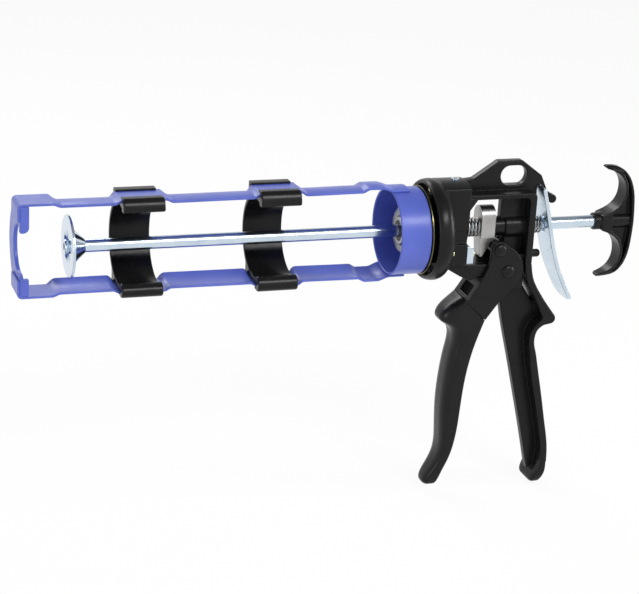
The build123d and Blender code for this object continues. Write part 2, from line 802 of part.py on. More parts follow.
    # Holes for the screws
    with BuildSketch(Plane.YZ.offset(pocket_floor_x)):
        with PolarLocations(flange_screw_r, flange_screw_count, flange_screw_angle):
            Circle(flange_screw_d / 2 + weld_gap)
    extrude(amount=flange_screw_len, mode=Mode.SUBTRACT)
    with BuildSketch(Plane.XY.offset(neck_top_r - set_screw_len)):
        with Locations((set_screw_x, 0)):
            Circle(set_screw_d / 2 + weld_gap)
    extrude(amount=2 * set_screw_len, mode=Mode.SUBTRACT)
    with BuildSketch(Plane.YZ.offset(neck_back_x)):
        with Locations((stop_screw_y, stop_screw_z)):
            Circle(stop_screw_d / 2 + weld_gap)
    extrude(amount=tongue_t - stop_screw_len, mode=Mode.SUBTRACT)

# Screws in the bell's recess
with BuildPart() as flange_screws:
    with BuildSketch(Plane.YZ.offset(pocket_floor_x)):
        with PolarLocations(flange_screw_r, flange_screw_count, flange_screw_angle):
            Circle(flange_head_d / 2)
    extrude(amount=-flange_head_h)
    with BuildSketch(Plane.YZ.offset(pocket_floor_x)):
        with PolarLocations(flange_screw_r, flange_screw_count, flange_screw_angle):
            Circle(flange_screw_d / 2)
    extrude(amount=flange_screw_len)
    fillet(flange_screws.edges().group_by(Axis.X)[0], flange_head_h / 3)

# Set screw in the top of the neck
with BuildPart() as bush_set_screw:
    with BuildSketch(Plane.XY.offset(neck_top_r - set_screw_len)):
        with Locations((set_screw_x, 0)):
            Circle(set_screw_d / 2)
    extrude(amount=set_screw_len + set_screw_rise)
    with BuildSketch(Plane.XY.offset(neck_top_r + set_screw_rise)):
        with Locations((set_screw_x, 0)):
            RegularPolygon(set_screw_d / 4, 6, major_radius=False)
    extrude(amount=-set_screw_d / 2, mode=Mode.SUBTRACT)

# Stop tongue behind the neck, and its screw
with BuildPart() as stop_tongue:
    with BuildSketch(Plane.YZ.offset(neck_back_x)) as tongue_face:
        with Locations((tongue_y, (tongue_top_z + tongue_end_z) / 2)):
            Rectangle(tongue_w, tongue_top_z - tongue_end_z)
        fillet(tongue_face.vertices().group_by(Axis.Y)[0], tongue_w * 0.45)
        with Locations((stop_screw_y, stop_screw_z)):
            Circle(stop_screw_d / 2 + weld_gap, mode=Mode.SUBTRACT)
    extrude(amount=tongue_t)
    with BuildSketch(Plane.XZ.offset(tongue_w / 2 - tongue_y)):
        with Locations((neck_back_x + tongue_side_len / 2, (tongue_side_top_z + tongue_side_end_z) / 2)):
            Rectangle(tongue_side_len, tongue_side_top_z - tongue_side_end_z)
    extrude(amount=-tongue_t)

with BuildPart() as stop_screw:
    with BuildSketch(Plane.YZ.offset(neck_back_x + tongue_t)):
        with Locations((stop_screw_y, stop_screw_z)):
            Circle(stop_head_d / 2)
    extrude(amount=stop_head_h)
    fillet(stop_screw.edges().group_by(Axis.X)[-1], stop_head_d / 8)
    with BuildSketch(Plane.YZ.offset(neck_back_x + tongue_t)):
        with Locations((stop_screw_y, stop_screw_z)):
            Circle(stop_screw_d / 2)
    extrude(amount=-stop_screw_len)

# Gripper: a block with a rounded top round the rod, and a leaning tail that the drive pin pushes
with BuildPart() as drive_gripper:
    with BuildSketch(Plane.YZ.offset(gripper_front_x)):
        with Locations((0, (gripper_top_z - gripper_w / 2 + gripper_base_z) / 2)):
            Rectangle(gripper_w, gripper_top_z - gripper_w / 2 - gripper_base_z)
        with Locations((0, gripper_top_z - gripper_w / 2)):
            Circle(gripper_w / 2)
        Circle(rod_bore_r, mode=Mode.SUBTRACT)
    extrude(amount=gripper_t)
    with BuildSketch(Plane.XZ):
        with BuildLine():
            Polyline(
                (gripper_front_x, gripper_base_z),
                (gripper_back_x, gripper_base_z),
                (tail_end_x, tail_end_z),
                (tail_front_x, tail_end_z),
                close=True,
            )
        make_face()
    extrude(amount=tail_w / 2, both=True)

# Return spring, between the neck and the gripper
return_x = return_seat_x + spring_seat * return_wire_d
return_run = gripper_front_x - side_gap - return_wire_d / 2 - return_x
with BuildPart() as return_spring:
    with BuildLine() as return_line:
        coil_wire(return_x, return_run, return_coil_d, return_turns, return_wire_d)
    with BuildSketch(Plane(origin=return_line.line @ 0, z_dir=return_line.line % 0)):
        Circle(return_wire_d / 2)
    sweep()
return_middle, _ = coil_points(return_x, return_run, return_coil_d, return_turns, spring_steps)
print("return spring self-gap", round(wire_gap(return_middle, spring_steps, return_wire_d), 3))

# Release spring, between the rear wall and the release lever
release_x = wall_back_x + spring_seat * release_wire_d
release_run = release_len - release_wire_d * 2 * spring_seat
with BuildPart() as release_spring:
    with BuildLine() as release_line:
        coil_wire(release_x, release_run, release_coil_d, release_turns, release_wire_d)
    with BuildSketch(Plane(origin=release_line.line @ 0, z_dir=release_line.line % 0)):
        Circle(release_wire_d / 2)
    sweep()
release_middle, _ = coil_points(release_x, release_run, release_coil_d, release_turns, spring_steps)
print("release spring self-gap", round(wire_gap(release_middle, spring_steps, release_wire_d), 3))

# Release lever: a curved plate hung in the notch, with a long hole round the rod
lever_line = [(lever_x, lever_z), (85.4, 8.8), (89.2, -7.7), (94.2, -24.6), (100.6, -38.9), (107.5, -51.2)]
with BuildPart() as release_lever:
    with BuildSketch(Plane.XZ):
        with BuildLine():
            lever_middle = Spline(*lever_line, mode=Mode.PRIVATE)
            lever_front = beside(lever_middle, -lever_t / 2, 0, 1)
            lever_rear = beside(lever_middle, lever_t / 2, 0, 1)
            lever_edge = lever_middle @ 0 - lever_middle % 0 * (lever_t / 2)
            Spline(*lever_front)
            Spline(*lever_rear)
            ThreePointArc(lever_front[0], lever_edge, lever_rear[0])
            Line(lever_front[-1], lever_rear[-1])
        make_face()
    extrude(amount=lever_w / 2, both=True)
    with BuildSketch(Plane.YZ.offset(wall_back_x)) as lever_face:
        with Locations((0, (notch_z + lever_tip_z) / 2)):
            Rectangle(lever_w, notch_z - lever_tip_z)
        fillet(lever_face.vertices().group_by(Axis.Y)[0], lever_end_r)
        SlotOverall(lever_slot_h, lever_slot_w, rotation=90, mode=Mode.SUBTRACT)
    extrude(amount=2 * lever_line[-1][0] - wall_back_x, mode=Mode.INTERSECT)

# Trigger yoke: two cheeks and a front wall with a window, and a tang for the grip
yoke_front = [(46.7, -21.6), (43.0, -30.1), (39.2, -37.9), (33.4, -46.8)]
seam_front = yoke_front[-1]
seam_back = (46.8, -59.3)
yoke_heel = (55.4, -47.3)
cheek_inner_y = yoke_w / 2 - yoke_t
with BuildPart() as trigger_yoke:
    with BuildSketch(Plane.XZ):
        with BuildLine():
            Polyline(
                (drive_x - cheek_drive_r, drive_z),
                *yoke_front,
                seam_back,
                yoke_heel,
                (pivot_x + cheek_pivot_r * 0.82, pivot_z - cheek_pivot_r * 0.57),
                (pivot_x + cheek_pivot_r, pivot_z),
                (yoke_top_x, drive_z),
                (drive_x + cheek_drive_r * 0.6, drive_z + cheek_drive_r * 0.8),
                (drive_x, drive_z),
                close=True,
            )
        make_face()
        with Locations((drive_x, drive_z)):
            Circle(cheek_drive_r)
        with Locations((pivot_x, pivot_z)):
            Circle(cheek_pivot_r)
    extrude(amount=cheek_y, both=True)
    with BuildSketch(Plane.XZ):
        with BuildLine():
            Polyline(
                (drive_x - 3 * cheek_drive_r, drive_z + 2 * cheek_drive_r),
                (drive_x - 3 * cheek_drive_r, yoke_wall_top_z),
                (yoke_front[1][0] + yoke_wall, yoke_wall_top_z),
                (yoke_front[2][0] + yoke_wall, yoke_front[2][1]),
                (yoke_front[3][0] + yoke_wall, yoke_front[3][1]),
                (yoke_front[3][0] + yoke_wall, seam_back[1] - yoke_wall),
                (pivot_x + 2 * cheek_pivot_r, seam_back[1] - yoke_wall),
                (pivot_x + 2 * cheek_pivot_r, drive_z + 2 * cheek_drive_r),
                close=True,
            )
        make_face()
    extrude(amount=cheek_inner_y, both=True, mode=Mode.SUBTRACT)
    with BuildSketch(Plane.YZ):
        with Locations((0, window_z)):
            Rectangle(window_w, window_h)
    extrude(amount=pivot_x, mode=Mode.SUBTRACT)
    with BuildSketch(Plane.XZ):
        with Locations((tang_x + tang_t / 2, seam_front[1] + yoke_wall / 2 - tang_len / 2)):
            Rectangle(tang_t, tang_len)
    extrude(amount=tang_w / 2, both=True)
    with BuildSketch(Plane.XZ):
        with Locations((pivot_x, pivot_z)):
            Circle(pivot_d / 2 + weld_gap)
        with Locations((drive_x, drive_z)):
            Circle(drive_end_d / 2 + weld_gap)
    extrude(amount=yoke_w, both=True, mode=Mode.SUBTRACT)

# Trigger grip: rounded in front, with a channel down the rear
grip_sections = [
    (-43.5, 32.0, 43.0, 22.0),
    (-46.0, 29.0, 44.5, 23.0),
    (-50.0, 22.5, 46.0, 23.0),
    (-54.0, 19.3, 47.4, 23.0),
    (-58.0, 19.3, 47.2, 23.0),
    (-63.0, 22.2, 45.4, 23.0),
    (-69.0, 26.0, 42.8, 23.0),
    (-75.0, 27.8, 40.8, 22.8),
    (-85.0, 25.4, 38.4, 22.4),
    (-99.0, 23.6, 36.0, 22.0),
    (-117.0, 22.2, 34.6, 21.6),
    (-135.0, 23.2, 34.0, 20.6),
    (-148.0, 24.3, 32.4, 19.0),
    (-156.0, 22.8, 30.4, 17.6),
    (-163.0, 19.0, 27.6, 16.4),
    (-168.0, 16.2, 26.0, 15.4),
    (-172.0, 15.4, 24.6, 13.6),
    (-174.6, 17.2, 22.8, 9.0),
]


def grip_section(z, front_x, back_x, width):
    """Level section of the grip: half an ellipse in front and rounded corners behind."""
    depth = back_x - front_x
    middle_x = front_x + depth * grip_round
    corner = depth * grip_corner
    half = width / 2
    with BuildSketch(Plane.XY.offset(z)) as section:
        with BuildLine():
            EllipticalCenterArc((middle_x, 0), middle_x - front_x, half, start_angle=90, arc_size=180)
            Line((middle_x, -half), (back_x - corner, -half))
            RadiusArc((back_x - corner, -half), (back_x, corner - half), -corner)
            Line((back_x, corner - half), (back_x, half - corner))
            RadiusArc((back_x, half - corner), (back_x - corner, half), -corner)
            Line((back_x - corner, half), (middle_x, half))
        make_face()
    return section.sketch


seam_slope = (seam_back[1] - seam_front[1]) / (seam_back[0] - seam_front[0])
channel_top_z = -71.5
channel_floor = [(31.0, -85.0), (28.6, -99.0), (27.4, -117.0), (28.2, -135.0), (31.0, -146.0)]
with BuildPart() as trigger_grip:
    loft([grip_section(*station) for station in grip_sections])
    # Slanted top that meets the yoke
    with BuildSketch(Plane.XZ):
        with BuildLine():
            top_z = seam_front[1] - weld_gap - seam_slope * seam_front[0]
            Polyline(
                (0, top_z),
                (pivot_x, top_z + seam_slope * pivot_x),
                (pivot_x, top_z),
                close=True,
            )
        make_face()
    extrude(amount=grip_w, both=True, mode=Mode.SUBTRACT)
    # Channel down the rear, which holds the yoke's tang
    with BuildSketch(Plane.XZ):
        with BuildLine():
            Polyline(
                (tang_x - weld_gap, seam_front[1] + tang_t),
                (tang_x - weld_gap, channel_top_z),
                *channel_floor,
                (pivot_x, channel_floor[-1][1]),
                (pivot_x, seam_front[1] + tang_t),
                close=True,
            )
        make_face()
    extrude(amount=grip_slot_w / 2, both=True, mode=Mode.SUBTRACT)

# Trigger's pivot pin, with a rivet head at each end
with BuildPart() as trigger_pivot_pin:
    with BuildSketch(Plane.XZ):
        with Locations((pivot_x, pivot_z)):
            Circle(pivot_d / 2)
    extrude(amount=cheek_y, both=True)
    with BuildSketch(Plane.XZ.offset(cheek_y), Plane.XZ.offset(-cheek_y - rivet_head_h)):
        with Locations((pivot_x, pivot_z)):
            Circle(rivet_head_d / 2)
    extrude(amount=rivet_head_h)
    head_rims = trigger_pivot_pin.edges().group_by(Axis.Y)
    fillet(head_rims[0] + head_rims[-1], rivet_head_h * 0.7)

# Drive pin, thick between the cheeks
with BuildPart() as drive_pin:
    with BuildSketch(Plane.XZ):
        with Locations((drive_x, drive_z)):
            Circle(drive_end_d / 2)
    extrude(amount=cheek_y, both=True)
    with BuildSketch(Plane.XZ):
        with Locations((drive_x, drive_z)):
            Circle(drive_pin_d / 2)
    extrude(amount=cheek_inner_y - weld_gap, both=True)
    with BuildSketch(Plane.XZ.offset(cheek_y), Plane.XZ.offset(-cheek_y - rivet_head_h)):
        with Locations((drive_x, drive_z)):
            Circle(rivet_head_d / 2)
    extrude(amount=rivet_head_h)
    drive_rims = drive_pin.edges().group_by(Axis.Y)
    fillet(drive_rims[0] + drive_rims[-1], rivet_head_h * 0.7)

# Each piece in a file of its own
nose_plate.part.label = "nose_plate"
export_step(nose_plate.part, "parts/nose_plate.step")
upper_rail.part.label = "upper_rail"
export_step(upper_rail.part, "parts/upper_rail.step")
lower_rail.part.label = "lower_rail"
export_step(lower_rail.part, "parts/lower_rail.step")
cradle_collar.part.label = "cradle_collar"
export_step(cradle_collar.part, "parts/cradle_collar.step")
front_clip.part.label = "front_clip"
export_step(front_clip.part, "parts/front_clip.step")
rear_clip.part.label = "rear_clip"
export_step(rear_clip.part, "parts/rear_clip.step")
body_casting.part.label = "body_casting"
export_step(body_casting.part, "parts/body_casting.step")
bearing_disc.part.label = "bearing_disc"
export_step(bearing_disc.part, "parts/bearing_disc.step")
flange_screws.part.label = "flange_screws"
export_step(flange_screws.part, "parts/flange_screws.step")
cradle_nut.part.label = "cradle_nut"
export_step(cradle_nut.part, "parts/cradle_nut.step")
spigot_bush.part.label = "spigot_bush"
export_step(spigot_bush.part, "parts/spigot_bush.step")
rear_rod_bush.part.label = "rear_rod_bush"
export_step(rear_rod_bush.part, "parts/rear_rod_bush.step")
bush_set_screw.part.label = "bush_set_screw"
export_step(bush_set_screw.part, "parts/bush_set_screw.step")
stop_tongue.part.label = "stop_tongue"
export_step(stop_tongue.part, "parts/stop_tongue.step")
stop_screw.part.label = "stop_screw"
export_step(stop_screw.part, "parts/stop_screw.step")
return_spring.part.label = "return_spring"
export_step(return_spring.part, "parts/return_spring.step")
release_spring.part.label = "release_spring"
export_step(release_spring.part, "parts/release_spring.step")
drive_gripper.part.label = "drive_gripper"
export_step(drive_gripper.part, "parts/drive_gripper.step")
trigger_yoke.part.label = "trigger_yoke"
export_step(trigger_yoke.part, "parts/trigger_yoke.step")
trigger_grip.part.label = "trigger_grip"
export_step(trigger_grip.part, "parts/trigger_grip.step")
trigger_pivot_pin.part.label = "trigger_pivot_pin"
export_step(trigger_pivot_pin.part, "parts/trigger_pivot_pin.step")
drive_pin.part.label = "drive_pin"
export_step(drive_pin.part, "parts/drive_pin.step")
release_lever.part.label = "release_lever"
export_step(release_lever.part, "parts/release_lever.step")
plunger_rod.part.label = "plunger_rod"
export_step(plunger_rod.part, "parts/plunger_rod.step")
pusher_disc.part.label = "pusher_disc"
export_step(pusher_disc.part, "parts/pusher_disc.step")
backing_cone.part.label = "backing_cone"
export_step(backing_cone.part, "parts/backing_cone.step")
disc_screw.part.label = "disc_screw"
export_step(disc_screw.part, "parts/disc_screw.step")
pull_handle.part.label = "pull_handle"
export_step(pull_handle.part, "parts/pull_handle.step")
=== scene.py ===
import math

import bmesh
import bpy
from mathutils import Matrix, Vector


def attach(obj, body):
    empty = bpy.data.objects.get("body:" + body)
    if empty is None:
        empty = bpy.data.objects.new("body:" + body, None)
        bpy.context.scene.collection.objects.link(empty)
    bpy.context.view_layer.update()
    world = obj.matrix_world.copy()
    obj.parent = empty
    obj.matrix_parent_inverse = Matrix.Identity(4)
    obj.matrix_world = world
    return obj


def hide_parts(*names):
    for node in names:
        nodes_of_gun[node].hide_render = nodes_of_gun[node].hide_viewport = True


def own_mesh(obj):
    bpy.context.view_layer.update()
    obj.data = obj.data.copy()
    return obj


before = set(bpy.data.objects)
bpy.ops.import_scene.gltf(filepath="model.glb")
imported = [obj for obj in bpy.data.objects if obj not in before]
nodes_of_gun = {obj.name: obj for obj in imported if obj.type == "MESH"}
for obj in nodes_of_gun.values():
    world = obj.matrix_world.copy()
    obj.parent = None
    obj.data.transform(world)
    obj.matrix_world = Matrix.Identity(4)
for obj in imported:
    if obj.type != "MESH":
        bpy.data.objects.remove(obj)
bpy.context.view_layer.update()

MM = 0.001


# Finishes

def new_finish(name):
    """A material with its shader ready, and the point on the piece that its patterns are read from."""
    finish = bpy.data.materials.new(name)
    finish.use_nodes = True
    tree = finish.node_tree
    shader = tree.nodes["Principled BSDF"]
    place = tree.nodes.new("ShaderNodeTexCoord").outputs["Object"]
    return finish, tree, shader, place


def cloud(tree, place, scale, detail=3.0, rough=0.55, stretch=None):
    """A soft noise over the piece, drawn out along an axis where stretch is given."""
    if stretch:
        drawn = tree.nodes.new("ShaderNodeMapping")
        drawn.inputs["Scale"].default_value = stretch
        tree.links.new(place, drawn.inputs["Vector"])
        place = drawn.outputs["Vector"]
    noise = tree.nodes.new("ShaderNodeTexNoise")
    noise.inputs["Scale"].default_value = scale
    noise.inputs["Detail"].default_value = detail
    noise.inputs["Roughness"].default_value = rough
    tree.links.new(place, noise.inputs["Vector"])
    return noise.outputs["Fac"]


def ramp(tree, value, stops):
    """Colours along a value, as pairs of place and colour."""
    band = tree.nodes.new("ShaderNodeValToRGB")
    band.color_ramp.elements[0].position = stops[0][0]
    band.color_ramp.elements[0].color = (*stops[0][1], 1)
    band.color_ramp.elements[1].position = stops[-1][0]
    band.color_ramp.elements[1].color = (*stops[-1][1], 1)
    for stop, colour in stops[1:-1]:
        band.color_ramp.elements.new(stop).color = (*colour, 1)
    tree.links.new(value, band.inputs["Fac"])
    return band.outputs["Color"]


def spread(tree, value, low, high, from_low=0.3, from_high=0.7):
    """Brings a value into the span from low to high."""
    span = tree.nodes.new("ShaderNodeMapRange")
    span.inputs["From Min"].default_value = from_low
    span.inputs["From Max"].default_value = from_high
    span.inputs["To Min"].default_value = low
    span.inputs["To Max"].default_value = high
    tree.links.new(value, span.inputs["Value"])
    return span.outputs["Result"]


def blended(tree, share, under, over):
    """A plain colour laid over another by a share."""
    mix = tree.nodes.new("ShaderNodeMix")
    mix.data_type = "RGBA"
    tree.links.new(share, mix.inputs["Factor"])
    tree.links.new(under, mix.inputs["A"])
    mix.inputs["B"].default_value = (*over, 1)
    return mix.outputs["Result"]


def product(tree, first, second):
    """Two values multiplied."""
    times = tree.nodes.new("ShaderNodeMath")
    times.operation = "MULTIPLY"
    tree.links.new(first, times.inputs[0])
    tree.links.new(second, times.inputs[1])
    return times.outputs["Value"]


def soft_edges(tree, radius):
    """The rounded edge that a coat of paint leaves: its normal, and where the edges are."""
    edge = tree.nodes.new("ShaderNodeBevel")
    edge.samples = 6
    edge.inputs["Radius"].default_value = radius
    flat = tree.nodes.new("ShaderNodeNewGeometry")
    turn = tree.nodes.new("ShaderNodeVectorMath")
    turn.operation = "DOT_PRODUCT"
    tree.links.new(edge.outputs["Normal"], turn.inputs[0])
    tree.links.new(flat.outputs["Normal"], turn.inputs[1])
    return edge.outputs["Normal"], spread(tree, turn.outputs["Value"], 1.0, 0.0, 0.75, 0.98)


def grained(tree, shader, height, strength, depth, normal=None):
    """A fine relief on the shader."""
    bump = tree.nodes.new("ShaderNodeBump")
    bump.inputs["Strength"].default_value = strength
    bump.inputs["Distance"].default_value = depth
    tree.links.new(height, bump.inputs["Height"])
    if normal is not None:
        tree.links.new(normal, bump.inputs["Normal"])
    tree.links.new(bump.outputs["Normal"], shader.inputs["Normal"])


def make_blue_paint():
    """Blue stoved paint on pressed steel, a little paler where it thins over the edges."""
    finish, tree, shader, place = new_finish("blue_stoved_paint")
    round_normal, edges = soft_edges(tree, 0.7 * MM)
    tones = [(0.3, (0.080, 0.116, 0.490)), (0.7, (0.094, 0.134, 0.540))]
    body = ramp(tree, cloud(tree, place, 45.0), tones)
    specks = spread(tree, cloud(tree, place, 900.0, 2.0), 0.0, 0.35, 0.52, 0.75)
    body = blended(tree, specks, body, (0.068, 0.098, 0.43))
    patches = spread(tree, cloud(tree, place, 160.0), 0.15, 0.55)
    thinned = blended(tree, product(tree, edges, patches), body, (0.20, 0.26, 0.72))
    tree.links.new(thinned, shader.inputs["Base Color"])
    tree.links.new(spread(tree, cloud(tree, place, 130.0), 0.30, 0.42), shader.inputs["Roughness"])
    grained(tree, shader, cloud(tree, place, 700.0, 2.0), 0.10, 0.15 * MM, round_normal)
    shader.inputs["Specular IOR Level"].default_value = 0.36
    shader.inputs["Coat Weight"].default_value = 0.12
    shader.inputs["Coat Roughness"].default_value = 0.2
    return finish


def make_black_coat():
    """Satin black powder coat on the castings, with its fine pebbled skin and worn edges."""
    finish, tree, shader, place = new_finish("black_powder_coat")
    round_normal, edges = soft_edges(tree, 0.8 * MM)
    tones = [(0.3, (0.0060, 0.0060, 0.0062)), (0.7, (0.0085, 0.0085, 0.0087))]
    body = ramp(tree, cloud(tree, place, 60.0), tones)
    patches = spread(tree, cloud(tree, place, 240.0), 0.05, 0.6)
    worn = blended(tree, product(tree, edges, patches), body, (0.030, 0.030, 0.030))
    tree.links.new(worn, shader.inputs["Base Color"])
    tree.links.new(spread(tree, cloud(tree, place, 170.0), 0.25, 0.32), shader.inputs["Roughness"])
    grained(tree, shader, cloud(tree, place, 1500.0, 3.0), 0.12, 0.12 * MM, round_normal)
    shader.inputs["Specular IOR Level"].default_value = 0.18
    return finish


def make_black_moulding():
    """Black moulded plastic with a fine spark grain, a little glossier than the coat."""
    finish, tree, shader, place = new_finish("black_moulding")
    round_normal, edges = soft_edges(tree, 0.6 * MM)
    tones = [(0.3, (0.0056, 0.0056, 0.0058)), (0.7, (0.0078, 0.0078, 0.0080))]
    body = ramp(tree, cloud(tree, place, 70.0), tones)
    patches = spread(tree, cloud(tree, place, 300.0), 0.0, 0.5)
    rubbed = blended(tree, product(tree, edges, patches), body, (0.024, 0.024, 0.024))
    tree.links.new(rubbed, shader.inputs["Base Color"])
    tree.links.new(spread(tree, cloud(tree, place, 220.0), 0.22, 0.29), shader.inputs["Roughness"])
    grained(tree, shader, cloud(tree, place, 2400.0, 2.0), 0.06, 0.08 * MM, round_normal)
    shader.inputs["Specular IOR Level"].default_value = 0.2
    return finish


def make_bright_zinc(name, stretch, smooth):
    """Bright zinc plate on drawn, rolled or spun steel: bluish white, less streaked where it is smooth."""
    finish, tree, shader, place = new_finish(name)
    round_normal, edges = soft_edges(tree, 0.4 * MM)
    tones = [(0.3, (0.52, 0.62, 0.72)), (0.55, (0.62, 0.71, 0.79)), (0.75, (0.56, 0.68, 0.80))]
    bloom = ramp(tree, cloud(tree, place, 55.0), tones)
    bare = blended(tree, spread(tree, edges, 0.0, 0.6, 0.0, 1.0), bloom, (0.78, 0.84, 0.88))
    tree.links.new(bare, shader.inputs["Base Color"])
    shader.inputs["Metallic"].default_value = 1.0
    streaks = cloud(tree, place, 900.0, 3.0, 0.6, stretch)
    finest, coarsest = 0.22 - 0.1 * smooth, 0.34 - 0.16 * smooth
    tree.links.new(spread(tree, streaks, finest, coarsest), shader.inputs["Roughness"])
    grained(tree, shader, streaks, 0.05 - 0.04 * smooth, 0.05 * MM, round_normal)
    return finish


def make_yellow_zinc(name, tone):
    """Yellow passivated zinc with its faint iridescent bloom; a tone below one darkens it as painted shade.
    """
    finish, tree, shader, place = new_finish(name)
    shades = [(0.3, (0.62, 0.50, 0.16)), (0.52, (0.72, 0.64, 0.30)), (0.72, (0.66, 0.62, 0.40))]
    tones = [(stop, tuple(tone * part for part in shade)) for stop, shade in shades]
    tree.links.new(ramp(tree, cloud(tree, place, 260.0), tones), shader.inputs["Base Color"])
    shader.inputs["Metallic"].default_value = 1.0
    tree.links.new(spread(tree, cloud(tree, place, 800.0), 0.24, 0.38), shader.inputs["Roughness"])
    grained(tree, shader, cloud(tree, place, 1600.0), 0.06, 0.05 * MM)
    return finish


def make_grey_steel(name, stretch):
    """Plain grey steel, linished in one direction."""
    finish, tree, shader, place = new_finish(name)
    round_normal, edges = soft_edges(tree, 0.4 * MM)
    tones = [(0.3, (0.34, 0.335, 0.33)), (0.7, (0.46, 0.455, 0.45))]
    body = ramp(tree, cloud(tree, place, 120.0), tones)
    bare = blended(tree, spread(tree, edges, 0.0, 0.5, 0.0, 1.0), body, (0.62, 0.62, 0.61))
    tree.links.new(bare, shader.inputs["Base Color"])
    shader.inputs["Metallic"].default_value = 1.0
    lines = cloud(tree, place, 1400.0, 3.0, 0.6, stretch)
    tree.links.new(spread(tree, lines, 0.26, 0.44), shader.inputs["Roughness"])
    grained(tree, shader, lines, 0.10, 0.05 * MM, round_normal)
    return finish


blue_paint = make_blue_paint()
black_coat = make_black_coat()
black_moulding = make_black_moulding()
rod_zinc = make_bright_zinc("drawn_zinc", (0.02, 1.0, 1.0), 0.7)
plate_zinc = make_bright_zinc("rolled_zinc", (1.0, 0.08, 1.0), 0.3)
spun_zinc = make_bright_zinc("spun_zinc", (1.0, 0.3, 0.3), 1.0)
yellow_zinc = make_yellow_zinc("yellow_zinc", 1.0)
# The bearing disc's zinc: the screws' yellow zinc darkened to a quarter, painted shade for the gap between
# the collar and the bell.
shade_painted_zinc = make_yellow_zinc("yellow_zinc_painted_shade", 0.24)
linished_steel = make_grey_steel("linished_steel", (1.0, 0.05, 1.0))
spring_steel = make_grey_steel("spring_steel", (1.0, 1.0, 1.0))

finish_of_node = {
    "nose_plate": blue_paint, "upper_rail": blue_paint, "lower_rail": blue_paint, "cradle_collar": blue_paint,
    "front_clip": black_moulding, "rear_clip": black_moulding, "body_casting": black_coat,
    "bearing_disc": shade_painted_zinc, "flange_screws": yellow_zinc, "cradle_nut": linished_steel,
    "spigot_bush": black_moulding, "rear_rod_bush": black_moulding, "bush_set_screw": plate_zinc,
    "stop_tongue": plate_zinc, "stop_screw": yellow_zinc, "return_spring": spring_steel,
    "release_spring": spring_steel, "drive_gripper": linished_steel, "trigger_yoke": black_coat,
    "trigger_grip": black_moulding, "trigger_pivot_pin": black_coat, "drive_pin": black_coat,
    "release_lever": plate_zinc, "plunger_rod": rod_zinc, "pusher_disc": spun_zinc, "backing_cone": spun_zinc,
    "disc_screw": spun_zinc, "pull_handle": black_moulding,
}
for node, finish in finish_of_node.items():
    nodes_of_gun[node].data.materials.clear()
    nodes_of_gun[node].data.materials.append(finish)


# Modelling

# Millimetres, and degrees for the angle up to which faces are shaded as one
MERGE_WITHIN = 0.002
CUT_WITHIN = 0.001
SMOOTH_UP_TO = 38


def at(x, y, z):
    """A place or a step in millimetres, in metres."""
    return (x * MM, y * MM, z * MM)


def nothing_selected():
    """Back to object mode, with nothing selected."""
    if bpy.context.mode != "OBJECT":
        bpy.ops.object.mode_set(mode="OBJECT")
    bpy.ops.object.select_all(action="DESELECT")


def take(piece):
    """Makes one piece the selected and active one."""
    nothing_selected()
    piece.select_set(True)
    bpy.context.view_layer.objects.active = piece


def pick(test):
    """In edit mode, selects only the points whose place in millimetres passes the test."""
    data = bpy.context.object.data
    bpy.ops.mesh.select_mode(type="VERT")
    bpy.ops.mesh.select_all(action="DESELECT")
    mesh = bmesh.from_edit_mesh(data)
    for point in mesh.verts:
        point.select = test(*(point.co / MM))
    mesh.select_flush(True)
    bmesh.update_edit_mesh(data)


def closed_up():
    """In edit mode, merges doubles, turns all faces outwards and goes back to object mode."""
    bpy.ops.mesh.select_all(action="SELECT")
    bpy.ops.mesh.remove_doubles(threshold=MERGE_WITHIN * MM)
    bpy.ops.mesh.normals_make_consistent(inside=False)
    bpy.ops.object.mode_set(mode="OBJECT")


def draw(name, points):
    """A new piece that is a line through points, open in edit mode and selected all over."""
    nothing_selected()
    bpy.ops.mesh.primitive_plane_add(size=MM, location=at(*points[0]))
    piece = bpy.context.object
    piece.name = name
    piece.data.name = name
    bpy.ops.object.transform_apply(location=True, rotation=True, scale=True)
    bpy.ops.object.mode_set(mode="EDIT")
    bpy.ops.mesh.merge(type="CENTER")
    for before, after in zip(points, points[1:]):
        step = [b - a for a, b in zip(before, after)]
        bpy.ops.mesh.extrude_vertices_move(TRANSFORM_OT_translate={"value": at(*step)})
    bpy.ops.mesh.select_all(action="SELECT")
    return piece


def plate(name, outline, low, high, across="Y"):
    """A piece of one outline, from one level to another across X, Y or Z."""
    place = {
        "X": lambda a, b: (low, a, b),
        "Y": lambda a, b: (a, low, b),
        "Z": lambda a, b: (a, b, low),
    }[across]
    depth = {"X": (high - low, 0, 0), "Y": (0, high - low, 0), "Z": (0, 0, high - low)}[across]
    piece = draw(name, [place(*point) for point in outline])
    bpy.ops.mesh.edge_face_add()
    bpy.ops.mesh.extrude_region_move(TRANSFORM_OT_translate={"value": at(*depth)})
    closed_up()
    return piece


def turned(name, profile, axis="X", centre=(0, 0, 0), steps=96):
    """A round piece from a profile of places along an axis and radii, spun about a centre."""
    x, y, z = centre
    along = {
        "X": lambda a, r: (x + a, y, z + r),
        "Y": lambda a, r: (x, y + a, z + r),
        "Z": lambda a, r: (x + r, y, z + a),
    }[axis]
    direction = {"X": (1, 0, 0), "Y": (0, 1, 0), "Z": (0, 0, 1)}[axis]
    piece = draw(name, [along(*point) for point in profile])
    bpy.ops.mesh.spin(steps=steps, angle=2 * math.pi, center=at(*centre), axis=direction)
    closed_up()
    return piece


def new_square(name):
    """A new piece that is a square of one millimetre round the origin, open in edit mode."""
    nothing_selected()
    bpy.ops.mesh.primitive_plane_add(size=MM)
    piece = bpy.context.object
    piece.name = name
    bpy.ops.object.mode_set(mode="EDIT")
    return piece


